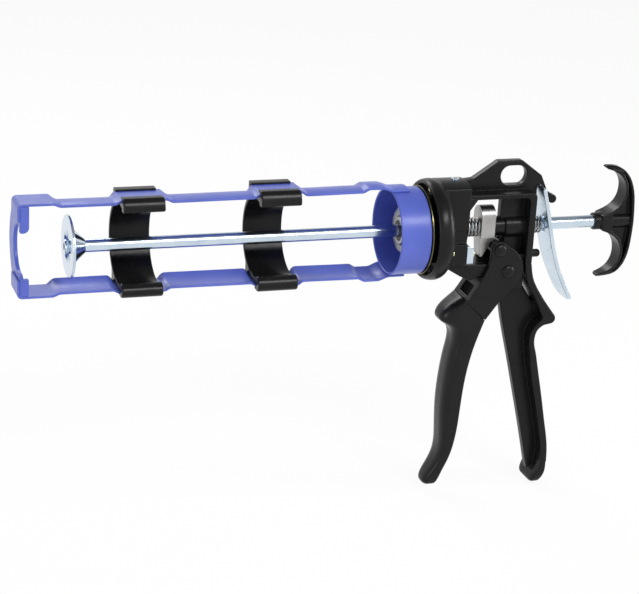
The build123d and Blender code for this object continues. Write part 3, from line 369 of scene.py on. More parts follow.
def drawn_down(sections):
    """In edit mode, draws the selected square through sections, given as level, front, back and width."""
    last_x, last_z, last_depth, last_width = 0, 0, 1, 1
    for z, front, back, width in sections:
        middle, depth = (front + back) / 2, back - front
        step = at(middle - last_x, 0, z - last_z)
        if last_z == 0:
            bpy.ops.transform.translate(value=step)
        else:
            bpy.ops.mesh.extrude_region_move(TRANSFORM_OT_translate={"value": step})
        scale = (depth / last_depth, width / last_width, 1)
        bpy.ops.transform.resize(value=scale, center_override=at(middle, 0, z))
        last_x, last_z, last_depth, last_width = middle, z, depth, width
    closed_up()


def modified(piece, kind, **settings):
    """Gives a piece a modifier and applies it."""
    take(piece)
    modifier = piece.modifiers.new(kind.lower(), kind)
    for setting, value in settings.items():
        setattr(modifier, setting, value)
    bpy.ops.object.modifier_apply(modifier=modifier.name)
    return piece


def rounded(piece, radius, segments=3, angle=32):
    """Rounds the edges of a piece that are sharper than an angle in degrees."""
    return modified(
        piece, "BEVEL", width=radius * MM, segments=segments, limit_method="ANGLE",
        angle_limit=math.radians(angle), use_clamp_overlap=False, miter_outer="MITER_ARC",
    )


def worked(piece, operation, *tools):
    """Unites a piece with others, or cuts it by them, and removes the others."""
    for tool in tools:
        modified(piece, "BOOLEAN", operation=operation, object=tool, solver="MANIFOLD")
        bpy.data.objects.remove(tool)
    return piece


def placed(piece, body, slot, finish, *nodes):
    """Finishes a piece: smooth faces, its finish, the body it moves with and the nodes it stands for."""
    take(piece)
    bpy.ops.object.transform_apply(location=True, rotation=True, scale=True)
    bpy.ops.object.shade_smooth_by_angle(angle=math.radians(SMOOTH_UP_TO))
    modified(piece, "WEIGHTED_NORMAL", keep_sharp=True, weight=60)
    piece.data.materials.clear()
    piece.data.materials.append(finish)
    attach(piece, body)
    if nodes:
        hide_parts(*nodes)
    nothing_selected()
    return piece


# Outlines

def arc(centre, radius, first, last, steps=10):
    """Places along an arc, its angles in degrees. Two radii make it part of an ellipse."""
    wide, high = radius if isinstance(radius, tuple) else (radius, radius)
    turns = [math.radians(first + (last - first) * i / steps) for i in range(steps + 1)]
    return [(centre[0] + wide * math.cos(turn), centre[1] + high * math.sin(turn)) for turn in turns]


def smooth_line(points, steps=6):
    """Places along a smooth line through the given ones, each tangent weighed by the spans beside it."""
    places = [Vector(point) for point in points]
    spans = [(b - a).length for a, b in zip(places, places[1:])]
    slopes = [(b - a) / span for a, b, span in zip(places, places[1:], spans)]
    tangents = [slopes[0]]
    for i in range(1, len(slopes)):
        tangents.append((slopes[i - 1] * spans[i] + slopes[i] * spans[i - 1]) / (spans[i - 1] + spans[i]))
    tangents.append(slopes[-1])
    line = []
    for i, span in enumerate(spans):
        for step in range(steps):
            t = step / steps
            line.append(tuple(
                places[i] * (2 * t**3 - 3 * t**2 + 1) + places[i + 1] * (3 * t**2 - 2 * t**3)
                + tangents[i] * span * (t**3 - 2 * t**2 + t) + tangents[i + 1] * span * (t**3 - t**2)
            ))
    return line + [tuple(points[-1])]


def filleted(corners, steps=5):
    """An outline of corners, given as two places and a radius, each rounded to its radius."""
    outline = []
    for i, (a, b, radius) in enumerate(corners):
        corner = Vector((a, b))
        back = (Vector(corners[i - 1][:2]) - corner).normalized()
        on = (Vector(corners[(i + 1) % len(corners)][:2]) - corner).normalized()
        if radius == 0:
            outline.append((a, b))
            continue
        half = back.angle(on) / 2
        centre = corner + (back + on).normalized() * (radius / math.sin(half))
        first = corner + back * (radius / math.tan(half)) - centre
        last = corner + on * (radius / math.tan(half)) - centre
        for step in range(steps + 1):
            outline.append(tuple(centre + first.lerp(last, step / steps).normalized() * radius))
    return outline


def shifted(line, distance):
    """A line moved to its left by a distance."""
    moved = []
    for i, (a, b) in enumerate(line):
        before, after = line[max(i - 1, 0)], line[min(i + 1, len(line) - 1)]
        run = Vector((after[0] - before[0], after[1] - before[1])).normalized()
        moved.append((a - run.y * distance, b + run.x * distance))
    return moved


def mirrored(outline):
    """An outline's upper half and the same below, as one."""
    return outline + [(a, -b) for a, b in reversed(outline)]


# Springs

WIRE_SIDES = 14
COIL_STEPS = 44
END_INSET = 0.3


def make_spring(node, seat, end, coil_r, wire_r, turns):
    """A coil of round wire with flat ends, from its seat to its end."""
    nothing_selected()
    inset = END_INSET * wire_r
    pitch = (end - seat - 2 * inset) / turns
    bpy.ops.mesh.primitive_circle_add(
        vertices=WIRE_SIDES, radius=wire_r * MM, location=at(seat + inset, 0, coil_r),
        rotation=(math.pi / 2, 0, 0),
    )
    spring = bpy.context.object
    spring.name = node + "_coil"
    bpy.ops.object.transform_apply(location=True, rotation=True, scale=True)
    modified(
        spring, "SCREW", axis="X", angle=-2 * math.pi, screw_offset=pitch * MM, iterations=turns,
        steps=COIL_STEPS, render_steps=COIL_STEPS,
    )
    bpy.ops.object.mode_set(mode="EDIT")
    for level, side in ((seat, -1), (end, 1)):
        bpy.ops.mesh.select_all(action="SELECT")
        bpy.ops.mesh.bisect(
            plane_co=at(level, 0, 0), plane_no=(side, 0, 0), use_fill=True, clear_outer=True,
            threshold=CUT_WITHIN * MM,
        )
    bpy.ops.mesh.select_all(action="SELECT")
    bpy.ops.mesh.fill_holes(sides=0)
    closed_up()
    placed(spring, "frame", "grey_steel", spring_steel, node)
    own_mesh(spring)


make_spring(
    "return_spring", seat=20.0, end=40.9, coil_r=5.65, wire_r=0.65, turns=9,
)
make_spring(
    "release_spring", seat=75.5, end=83.9, coil_r=5.3, wire_r=0.55, turns=4,
)


# Trigger

PIVOT_X, PIVOT_Z = 59.6, -27.0
DRIVE_X, DRIVE_Z = 53.1, -12.6
PIN_RADIUS, PIN_HOLE = 3.0, 3.05
# Level, front, back and width of each section, from above the seam to the tip
GRIP_SECTIONS = [
    (-43.5, 32.5, 44.0, 22.4), (-46.0, 29.6, 45.8, 23.0), (-50.0, 23.5, 47.4, 23.2),
    (-54.0, 19.3, 48.6, 23.2), (-58.0, 17.7, 48.4, 23.2), (-60.8, 18.6, 47.6, 23.2),
    (-63.4, 23.2, 46.6, 23.2), (-67.0, 27.2, 45.2, 23.2), (-75.0, 28.6, 42.4, 23.0),
    (-85.0, 26.0, 39.8, 22.6), (-99.0, 24.2, 37.2, 22.2), (-117.0, 22.8, 35.8, 21.8),
    (-135.0, 23.7, 35.0, 20.8), (-148.0, 24.7, 33.0, 19.2), (-156.0, 23.2, 30.8, 17.8),
    (-163.0, 19.4, 27.8, 16.6), (-168.0, 16.0, 26.0, 15.6), (-172.0, 14.5, 24.6, 14.2),
    (-174.4, 15.2, 23.4, 12.0), (-175.4, 17.3, 21.6, 7.0),
]
# Corner rounds of the square that becomes the grip, as shares of its side
GRIP_FRONT_ROUND, GRIP_REAR_ROUND = 0.38, 0.12
CHANNEL_HALF = 5.7
CHANNEL_FLOOR = [(31.0, -85.0), (28.6, -99.0), (27.4, -117.0), (28.2, -135.0), (31.0, -146.0)]
SEAM_FRONT = (33.4, -46.82)
SEAM_BACK = (46.8, -59.32)
SEAM_LAP = 0.4


def make_grip():
    """The trigger's grip: a round-fronted bar drawn down through its sections, with a channel in the rear."""
    grip = new_square("trigger_grip_moulding")
    pick(lambda x, y, z: x < 0)
    bpy.ops.mesh.bevel(offset=GRIP_FRONT_ROUND * MM, segments=8, affect="VERTICES")
    pick(lambda x, y, z: x > 0.4 and abs(y) > 0.4)
    bpy.ops.mesh.bevel(offset=GRIP_REAR_ROUND * MM, segments=4, affect="VERTICES")
    bpy.ops.mesh.select_all(action="SELECT")
    bpy.ops.mesh.remove_doubles(threshold=MERGE_WITHIN * MM)
    drawn_down(GRIP_SECTIONS)
    modified(grip, "SUBSURF", levels=2, render_levels=2)
    bpy.ops.object.mode_set(mode="EDIT")
    bpy.ops.mesh.select_all(action="SELECT")
    bpy.ops.mesh.bisect(
        plane_co=at(SEAM_FRONT[0] + SEAM_LAP, 0, SEAM_FRONT[1] + SEAM_LAP),
        plane_no=(SEAM_FRONT[1] - SEAM_BACK[1], 0, SEAM_BACK[0] - SEAM_FRONT[0]),
        use_fill=True, clear_outer=True, threshold=CUT_WITHIN * MM,
    )
    closed_up()
    rounded(grip, 0.5, angle=40)
    channel = [(33.78, -40), (33.78, -71.5)] + smooth_line(CHANNEL_FLOOR, 4) + [(60, -146), (60, -40)]
    worked(grip, "DIFFERENCE", plate("channel", channel, -CHANNEL_HALF, CHANNEL_HALF))
    placed(grip, "trigger", "black_plastic", black_moulding, "trigger_grip")


make_grip()


CHEEK_FRONT = [SEAM_FRONT, (39.2, -37.9), (43.0, -30.1), (46.7, -21.6), (47.4, -12.6)]
CHEEK_BACK = [(57.6, -9.2), (63.6, -13.0), (68.4, -19.2), (70.3, -27.0), (68.6, -33.2), (65.4, -36.6)]
CHEEK_INSIDE, CHEEK_OUTSIDE = 9.5, 12.5
CHEEK_TOP_ROUND = 5.7
WALL_HALF = 10.5
TANG_HALF = 5.5
DOME_HEIGHT, DOME_RADIUS, DOME_SINK = 2.0, 4.3, 0.05


def make_yoke():
    """The trigger's yoke: two cheeks, a front wall with a window between them, and a tang into the grip."""
    cheek_line = (
        smooth_line(CHEEK_FRONT, 5)[:-1] + arc((DRIVE_X, DRIVE_Z), CHEEK_TOP_ROUND, 180, 50, 12)[:-1]
        + smooth_line(CHEEK_BACK, 5) + [(55.8, -47.0), (46.8, -59.3)]
    )
    yoke = rounded(plate("trigger_yoke_casting", cheek_line, -CHEEK_OUTSIDE, -CHEEK_INSIDE), 0.7)
    far = rounded(plate("far_cheek", cheek_line, CHEEK_INSIDE, CHEEK_OUTSIDE), 0.7)
    wall_line = [
        (42.35, -31.6), (45.2, -31.6), (42.2, -37.9), (36.4, -46.8), (36.4, -49.6), SEAM_FRONT, (39.2, -37.9),
    ]
    wall = plate("front_wall", wall_line, -WALL_HALF, WALL_HALF)
    window_line = [(-6.5, -44.1), (6.5, -44.1), (6.5, -37.5), (-6.5, -37.5)]
    window = plate("window", window_line, 20, 59, across="X")
    rounded(worked(wall, "DIFFERENCE", window), 0.5, segments=2)
    tang_line = [(33.8, -45.3), (38.8, -45.3), (38.8, -71.3), (33.8, -71.3)]
    tang = plate("tang", tang_line, -TANG_HALF, TANG_HALF)
    worked(yoke, "UNION", far, wall, tang)
    placed(yoke, "trigger", "black_casting", black_coat, "trigger_yoke")


make_yoke()


def make_pin(node, x, z, middle_r, middle_half):
    """A pin through the cheeks with a round dome at each end."""
    dome_foot = CHEEK_OUTSIDE - DOME_SINK
    dome = arc((dome_foot, 0), (DOME_HEIGHT, DOME_RADIUS), 90, 0, 8)
    half = [(middle_half, middle_r), (middle_half, PIN_RADIUS), (dome_foot, PIN_RADIUS)] + dome
    profile = [(-a, r) for a, r in reversed(half)] + half
    pin = turned(node + "_rivet", profile, "Y", (x, 0, z), steps=48)
    placed(pin, "trigger", "black_casting", black_coat, node)


make_pin("trigger_pivot_pin", PIVOT_X, PIVOT_Z, middle_r=PIN_RADIUS, middle_half=9.0)
make_pin("drive_pin", DRIVE_X, DRIVE_Z, middle_r=4.6, middle_half=9.45)


# Pull handle

PULL_BACK = [
    (148.4, 0), (147.95, 9.0), (147.1, 17.7), (145.5, 24.8), (143.0, 30.5), (138.6, 35.2), (133.2, 37.2),
    (127.7, 37.6),
]
PULL_TIP = [(126.9, 37.2), (126.8, 36.3), (127.8, 35.5)]
PULL_FRONT = [
    (127.8, 35.5), (132.9, 33.6), (137.4, 30.4), (140.2, 25.6), (140.8, 19.5), (139.6, 14.7),
    (136.6, 10.5), (131.6, 7.2), (126.0, 4.9),
]
PULL_TAPER = [(6.6, 0), (6.6, 15.0), (6.3, 23.0), (5.4, 30.0), (4.0, 35.0), (1.4, 37.9)]
PULL_HALF = 6.5
PANEL_RIM = 1.8
PANEL_FLOOR, PANEL_OPEN = 2, 8
# The places on the back and front lines that a panel follows
PANEL_BACK, PANEL_FRONT = slice(0, 29), slice(16, 42)
ROD_SEAT = 4.02


def make_pull_handle():
    """A crescent with sunk sides on a tube for the rod."""
    back, front = smooth_line(PULL_BACK), smooth_line(PULL_FRONT)
    upper = back[1:] + PULL_TIP + front[1:]
    handle = plate("pull_handle_moulding", list(reversed(mirrored(upper))), -PULL_HALF, PULL_HALF)
    panel_back = shifted(back, PANEL_RIM)[PANEL_BACK]
    panel_front = shifted(front, PANEL_RIM)[PANEL_FRONT]
    for up in (1, -1):
        panel = [(a, up * b) for a, b in panel_back + panel_front + [(panel_front[-1][0], -1)]]
        worked(
            handle, "DIFFERENCE",
            plate("near_panel", panel, -PANEL_OPEN, -PANEL_FLOOR),
            plate("far_panel", panel, PANEL_FLOOR, PANEL_OPEN),
        )
    taper = smooth_line(PULL_TAPER)
    sides = taper + [(-a, b) for a, b in reversed(taper)]
    outline = sides[1:-1] + [(-a, -b) for a, b in sides[1:-1]]
    worked(handle, "INTERSECT", plate("taper", outline, 110, 160, across="X"))
    rounded(handle, 0.6, angle=40)
    hub = turned("hub", [(121.5, 0), (121.5, 5.6), (130.0, 5.6), (130.0, 0)], steps=64)
    rounded(hub, 0.9, segments=4, angle=50)
    tube = turned("tube", [(128, 0), (128, 5.0), (146.6, 5.0), (146.6, 0)], steps=64)
    bore = turned("bore", [(120, 0), (120, ROD_SEAT), (144.4, ROD_SEAT), (144.4, 0)], steps=64)
    worked(handle, "UNION", hub, tube)
    worked(handle, "DIFFERENCE", bore)
    placed(handle, "plunger", "black_plastic", black_moulding, "pull_handle")


make_pull_handle()


# Release lever

LEVER_LINE = [(81.2, 25), (85.4, 8.8), (89.2, -7.7), (94.2, -24.6), (100.6, -38.9), (107.5, -51.2)]
LEVER_HALF_GAUGE = 1.25
LEVER_HALF = 11
TIP_LEVEL, TIP_ROUND = -44, 7
SLOT_ROUND, SLOT_RISE = 4.4, 1.1


def make_lever():
    """A bent plate with a round tip and a long hole for the rod."""
    middle = smooth_line(LEVER_LINE)
    rear, front = shifted(middle, LEVER_HALF_GAUGE), shifted(middle, -LEVER_HALF_GAUGE)
    top = arc(LEVER_LINE[0], LEVER_HALF_GAUGE, 195, 15, 8)[1:-1]
    lever = plate("release_lever_plate", rear + list(reversed(front)) + top, -LEVER_HALF, LEVER_HALF)
    flat, clear = LEVER_HALF - TIP_ROUND, LEVER_HALF + 1
    tip = arc((-flat, TIP_LEVEL), TIP_ROUND, 180, 270) + arc((flat, TIP_LEVEL), TIP_ROUND, 270, 360)
    round_tip = [(-clear, TIP_LEVEL)] + tip + [(clear, TIP_LEVEL), (clear, -60), (-clear, -60)]
    slot = arc((0, SLOT_RISE), SLOT_ROUND, 0, 180) + arc((0, -SLOT_RISE), SLOT_ROUND, 180, 360)
    worked(
        lever, "DIFFERENCE", plate("tip", round_tip, 70, 130, across="X"),
        plate("slot", slot, 70, 100, across="X"),
    )
    rounded(lever, 0.45, angle=40)
    placed(lever, "release", "bright_zinc", plate_zinc, "release_lever")


make_lever()


# Body casting

HANDLE_FRONT = [(58.0, -36.0), (60.2, -50.9), (71.4, -95.8), (83.5, -143.4), (90.0, -171.0)]
HANDLE_MIDDLE = [(97.0, -165.0), (97.0, -155.0), (93.0, -136.0), (81.0, -80.0), (81.0, -71.0), (88.0, -59.0)]
NECK_BACK = [(75.5, -22.0), (77.6, -32.0), (85.6, -46.0), (93.9, -57.0)]
SPUR = [(93.9, -57.0), (95.6, -59.4), (95.8, -62.0), (94.2, -64.0), (91.4, -64.7)]
HANDLE_BACK = [
    (91.4, -64.7), (88.3, -65.3), (84.2, -68.6), (82.6, -75.2), (84.9, -85.6), (94.2, -127.8),
    (99.2, -154.5), (99.5, -162.0),
]
HANDLE_END = [(98.6, -164.6), (95.6, -164.6)]
HANDLE_INNER = [
    (94.6, -162.0), (94.9, -155.6), (91.2, -135.0), (80.2, -84.0), (79.2, -72.0), (82.0, -65.8),
    (87.2, -60.4),
]
NECK_INNER = [(87.2, -60.4), (80.6, -47.0), (73.4, -34.0), (71.0, -22.0)]
# Level, front, back and width of each section, from inside the flange to the sole
TOE_SECTIONS = [
    (-150.0, 95.0, 97.6, 25.0), (-157.0, 94.9, 99.2, 25.9), (-162.0, 94.5, 99.7, 26.3),
    (-166.0, 94.0, 99.8, 26.3), (-169.0, 93.4, 99.7, 26.0), (-171.3, 92.3, 99.3, 25.2),
    (-173.4, 91.0, 98.7, 24.0), (-175.4, 90.1, 97.8, 22.4), (-177.2, 90.0, 96.6, 20.0),
    (-178.1, 90.8, 95.2, 16.0),
]
# X, Z and the radius of each corner
LUG = [
    (24.0, 22.8, 0), (24.0, 31.4, 0), (35.0, 32.4, 3), (51.4, 43.4, 3.5), (67.6, 43.4, 3.5),
    (81.7, 33.0, 4), (86.3, 22.8, 2), (90.8, 19.6, 0), (88.2, 15.8, 0), (84.4, 21.4, 1.2),
    (83.6, 26.6, 0.8), (79.2, 26.6, 0.5), (79.2, 16.0, 1.0), (74.5, 16.0, 0), (74.5, 22.8, 0),
]
BLOCK = [
    (13.5, -17.8, 0), (29.6, -17.8, 0), (29.6, -22.6, 0), (58.6, -22.6, 2), (58.6, -17.0, 1),
    (72.0, -17.0, 0), (72.0, -40.0, 0), (60.0, -40.0, 1), (54.0, -36.0, 2), (50.0, -30.8, 2),
    (39.5, -30.8, 2), (36.0, -33.0, 2), (28.5, -30.0, 6), (20.0, -25.0, 4), (13.5, -22.0, 0),
]
BLOCK_HALF = 9.2
POST_LEVEL = -19.6
FLANGE_HALF = 13
WEB_HALF = 3
ROD_HOLE = 4.6
BUSH_SEAT = 6.52
SPIGOT_RADIUS, COLLAR_BORE, NUT_BORE = 9.0, 9.05, 9.02
BELL_FACE, BELL_FLOOR, BELL_REAR = 0.9, 11.0, 15.0
HUB_RADIUS = 21.5
NECK_HALF, GROOVE_HALF = 13.5, 11.9
NECK_FOOT, NECK_SHOULDER = -21.0, 29.2
NECK_CROWN = 32.0
# As a share of the side of the square that becomes the toe
TOE_ROUND = 0.22


def make_bell():
    """The round bell with its hub, seen from the front as a deep ring-shaped recess."""
    profile = [(BELL_FACE, BUSH_SEAT), (BELL_FACE, 21.1), (1.3, HUB_RADIUS)]
    profile += [(BELL_FLOOR, HUB_RADIUS), (BELL_FLOOR, 28.7)]
    profile += arc((5.2, 30.2), (1.75, 1.5), 270, 180, 6)
    profile += arc((8.6, 30.2), (5.15, 2.0), 180, 90, 10)[1:]
    profile += arc((8.6, 27.2), (6.4, 5.0), 90, 0, 14)[1:]
    profile += [(BELL_REAR, ROD_HOLE), (10.0, ROD_HOLE), (10.0, BUSH_SEAT), (BELL_FACE, BUSH_SEAT)]
    return turned("body_casting_shell", profile, steps=128)


def make_spigot():
    """The bare spigot in front of the bell, which the cradle turns on."""
    profile = [
        (-12.5, BUSH_SEAT), (-12.5, 8.5), (-12.0, SPIGOT_RADIUS), (1.5, SPIGOT_RADIUS), (1.5, BUSH_SEAT),
        (-12.5, BUSH_SEAT),
    ]
    spigot = turned("body_spigot", profile, steps=72)
    placed(rounded(spigot, 0.2, segments=2), "frame", "black_casting", linished_steel, "body_casting")


make_spigot()


def make_neck():
    """The block behind the bell: round on top, flat at the sides, with a groove along each."""
    foot = [(0, NECK_FOOT, 0), (NECK_HALF, NECK_FOOT, 1.2)]
    groove = [
        (NECK_HALF, -7.4, 0.5), (GROOVE_HALF, -6.6, 0.4), (GROOVE_HALF, 1.6, 0.4), (NECK_HALF, 2.4, 0.5),
    ]
    far = filleted(foot + groove + [(NECK_HALF, NECK_SHOULDER, 0)], 4)[1:]
    crown = arc((0, 0), NECK_CROWN, 65.05, 114.95, 14)
    near = [(-a, b) for a, b in reversed(far)]
    return rounded(plate("neck", far[:-1] + crown + near[1:], 11.5, 30.0, across="X"), 0.8, angle=28)


def make_frame():
    """Top flange and rear wall, the web between them and the boss for the rod's rear bush."""
    angle_line = filleted([
        (28.0, 24.6, 0), (75.5, 24.6, 3.3), (75.5, -23.0, 0), (71.0, -23.0, 0), (71.0, 21.3, 3.3),
        (28.0, 21.3, 0),
    ], 8)
    angle = rounded(plate("angle", angle_line, -FLANGE_HALF, FLANGE_HALF), 0.9)
    web_line = [(55.4, 23.6), (72.0, 23.6), (72.0, -18.0), (58.6, -18.0), (58.6, -7.5), (55.4, -7.5)]
    web = rounded(plate("web", web_line, -WEB_HALF, WEB_HALF), 0.7)
    boss = turned("boss", [(58.0, 0), (58.0, 7.0), (58.5, 7.5), (72.0, 7.5), (72.0, 0)], steps=72)
    corner = plate("corner", [(26.0, 13.0), (28.8, 13.0), (35.4, 22.4), (26.0, 22.4)], -13.2, -9.0)
    return angle, web, boss, rounded(corner, 0.5)


def make_lug():
    """The hanging lug on top, with its slot, the notch for the lever and a rolled end."""
    lug = plate("lug", filleted(LUG, 6), -WEB_HALF, WEB_HALF)
    slot = arc((65.0, 33.7), 6.4, 90, -90, 14) + arc((59.8, 33.7), 6.4, 270, 90, 14)
    rounded(worked(lug, "DIFFERENCE", plate("slot", slot, -5, 5)), 0.8, angle=35)
    roll = [(-WEB_HALF, 0), (-WEB_HALF, 2.1)] + arc((-2.3, 2.1), 0.7, 180, 90, 4)[1:]
    roll += arc((2.3, 2.1), 0.7, 90, 0, 4) + [(WEB_HALF, 0)]
    return lug, turned("roll", roll, "Y", (90.6, 0, 17.0), steps=40)


def make_handle():
    """The rear handle: a thin web in front of a wide flange, with a spur at the top."""
    flange_line = (
        smooth_line(NECK_BACK)[:-1] + smooth_line(SPUR, 4)[:-1] + smooth_line(HANDLE_BACK)
        + HANDLE_END + smooth_line(HANDLE_INNER)[:-1] + smooth_line(NECK_INNER)
    )
    flange = rounded(plate("flange", flange_line, -FLANGE_HALF, FLANGE_HALF), 1.0, segments=4, angle=38)
    web_line = [(72.0, -36.0)] + smooth_line(HANDLE_FRONT, 4) + smooth_line(HANDLE_MIDDLE, 4)
    return flange, rounded(plate("handle_web", web_line, -WEB_HALF, WEB_HALF), 0.9, angle=35)


def make_toe():
    """The round toe at the foot of the handle, drawn down through its sections."""
    toe = new_square("toe")
    bpy.ops.mesh.select_all(action="SELECT")
    bpy.ops.mesh.bevel(offset=TOE_ROUND * MM, segments=5, affect="VERTICES")
    drawn_down(TOE_SECTIONS)
    modified(toe, "SUBSURF", levels=2, render_levels=2)
    return toe


def make_body():
    """The body casting as one piece, with the holes for the rod, its spring and the trigger's pivot."""
    body = make_bell()
    block = rounded(plate("block", filleted(BLOCK), -BLOCK_HALF, BLOCK_HALF), 0.7)
    post = [(75.0, 0), (75.0, 2.6)] + arc((84.0, 0.6), 2.0, 90, 0, 8) + [(86.0, 0)]
    stop = turned("post", post, centre=(0, 0, POST_LEVEL), steps=40)
    worked(body, "UNION", make_neck(), block, *make_frame(), *make_lug(), *make_handle(), make_toe(), stop)
    front_bore = [(9.8, 0), (9.8, ROD_HOLE), (20.0, ROD_HOLE), (20.0, 7.0), (31.0, 7.0), (31.0, 0)]
    rear_bore = [
        (54.0, 0), (54.0, 6.32), (58.0, 6.32), (58.0, 5.32), (70.0, 5.32), (70.0, ROD_HOLE),
        (77.0, ROD_HOLE), (77.0, 0),
    ]
    pivot_hole = [(-15, 0), (-15, PIN_HOLE), (15, PIN_HOLE), (15, 0)]
    worked(
        body, "DIFFERENCE", turned("front_bore", front_bore, steps=72),
        turned("rear_bore", rear_bore, steps=72),
        turned("pivot_hole", pivot_hole, "Y", (PIVOT_X, 0, PIVOT_Z), steps=40),
    )
    placed(body, "frame", "black_casting", black_coat, "body_casting")


make_body()


# Cradle

STRAP_NEAR, STRAP_FAR = -7.2, 14.0
CLIP_PLACES = (("front_clip", -178.5, 29.4), ("rear_clip", -93.6, 30.3))
CLIP_HALF, BAR_HALF = 12.5, 12.8
BAND_OUTSIDE, BAND_INSIDE = 27.4, 25.2
LIP_FOOT, LIP_REACH = 22.6, 3.4
PAD_DEPTH = 5.0
STRAP_RADIUS = 29.05
STRAP_GAUGE = 1.5
STRAP_STEPS = 14
NOSE_RADIUS, NOSE_HOLE = 29.0, 15.0
ACROSS_FLATS = 27.0
NEARLY_FLAT = 0.03
NOSE_FLAP = [(-253.0, 18.3), (-253.0, 25.2)] + arc((-250.0, 26.2), 3.0, 180, 90, 8)
# X, height and bend, where a bend of 1 follows the collar and 0 is flat
RAIL_STATIONS = [
    (-250.0, 29.2, NEARLY_FLAT), (-232.0, 29.2, NEARLY_FLAT), (-226.5, 28.3, 0.9),
    (-195.4, 28.3, 0.9), (-190.6, 29.4, 0.02), (-163.6, 29.4, 0.02), (-159.0, 28.4, 0.9),
    (-109.4, 28.6, 0.9), (-104.4, 30.3, 0.02), (-79.0, 30.3, 0.02), (-75.0, 29.0, 0.9),
    (-40.0, 29.3, 0.9), (-35.0, 31.2, 0.8), (-27.0, 31.2, 0.8), (-18.5, STRAP_RADIUS, 1.0),
    (-9.0, STRAP_RADIUS, 1.0),
]


def rail_levels():
    """Places along a rail from its nose flap to its end, with soft S-curves between the stations."""
    levels = [(x, z, NEARLY_FLAT) for x, z in NOSE_FLAP]
    for (x, height, bend), (next_x, next_height, next_bend) in zip(RAIL_STATIONS, RAIL_STATIONS[1:]):
        steps = 8 if height != next_height else 3
        for i in range(1, steps + 1):
            t = i / steps
            ease = t * t * (3 - 2 * t)
            levels.append((
                x + (next_x - x) * t,
                height + (next_height - height) * ease,
                bend + (next_bend - bend) * ease,
            ))
    return levels


def make_rails():
    """The upper rail, drawn out section by section from its nose flap, and a mirrored copy below."""
    levels = rail_levels()
    x, height, bend = levels[0]
    across = [STRAP_NEAR + (STRAP_FAR - STRAP_NEAR) * i / STRAP_STEPS for i in range(STRAP_STEPS + 1)]
    drops = [STRAP_RADIUS - math.sqrt(STRAP_RADIUS**2 - y**2) for y in across]
    rail = draw("upper_rail_strip", [(x, y, height - bend * drop) for y, drop in zip(across, drops)])
    for next_x, next_height, next_bend in levels[1:]:
        step = at(next_x - x, 0, next_height - height)
        bpy.ops.mesh.extrude_edges_move(TRANSFORM_OT_translate={"value": step})
        bpy.ops.transform.resize(value=(1, 1, next_bend / bend), center_override=at(next_x, 0, next_height))
        x, height, bend = next_x, next_height, next_bend
    closed_up()
    modified(rail, "SOLIDIFY", thickness=STRAP_GAUGE * MM, offset=-1.0, use_even_offset=True)
    take(rail)
    bpy.ops.object.mode_set(mode="EDIT")
    closed_up()
    rounded(rail, 0.45, angle=50)
    take(rail)
    bpy.ops.object.duplicate()
    lower = bpy.context.object
    lower.name = "lower_rail_strip"
    bpy.ops.object.mode_set(mode="EDIT")
    bpy.ops.mesh.select_all(action="SELECT")
    bpy.ops.transform.resize(value=(1, 1, -1), center_override=(0, 0, 0))
    closed_up()
    placed(rail, "cradle", "blue_paint", blue_paint, "upper_rail")
    placed(lower, "cradle", "blue_paint", blue_paint, "lower_rail")


make_rails()


def make_nose_plate():
    """The nose plate: a C open to the near side, its ends turned back into prongs, the upper one a hook."""
    seat, hook, step = 27.65, 11.4, -16.8
    face, rear, prong_face, prong_end = -251.48, -249.0, -251.4, -246.0
    rim = arc((0, 0), NOSE_RADIUS, 72.4, -72.4, 44)
    hole = arc((0, 0), NOSE_HOLE, 262, 458, 44)
    low_end = filleted([
        (8.0, -seat, 0), (STRAP_NEAR, -seat, 0.8), (STRAP_NEAR, step, 1.2), (-2.1, -14.85, 0),
    ])[1:-1]
    high_end = filleted([
        (-2.1, 14.85, 0), (-2.8, hook, 1.0), (STRAP_NEAR, hook, 1.2), (STRAP_NEAR, seat, 0.8), (8.0, seat, 0),
    ])[1:-1]
    nose = plate("nose_plate_pressing", rim + low_end + hole + high_end, face, rear, across="X")
    rounded(nose, 0.5, angle=35)
    prongs = []
    for name, tip, root, tip_round in (("upper_prong", hook, seat, 3.4), ("lower_prong", step, -seat, 1.2)):
        side = filleted([
            (prong_face, root, 0.7), (prong_end, root, 0.7),
            (prong_end, tip, tip_round), (prong_face, tip, 0.9),
        ])
        prongs.append(rounded(plate(name, side, STRAP_NEAR - 0.02, STRAP_NEAR + 2.4), 0.6, angle=35))
    worked(nose, "UNION", *prongs)
    placed(nose, "cradle", "blue_paint", blue_paint, "nose_plate")


make_nose_plate()


def make_collar():
    """The collar: a shallow cup with a rolled rim and a sunk ring round the nut."""
    profile = [(0, COLLAR_BORE)] + arc((-1.2, 26.3), 1.2, 0, 90, 6) + arc((-19.2, 26.7), 0.8, 90, 270, 10)
    profile += [
        (-3.2, 25.9), (-2.4, 25.6), (-2.0, 24.8), (-2.0, 17.2), (-1.8, 17.0), (-1.6, 16.8),
        (-1.6, COLLAR_BORE), (0, COLLAR_BORE),
    ]
    collar = turned("cradle_collar_cup", profile, steps=128)
    placed(collar, "cradle", "blue_paint", blue_paint, "cradle_collar")


make_collar()


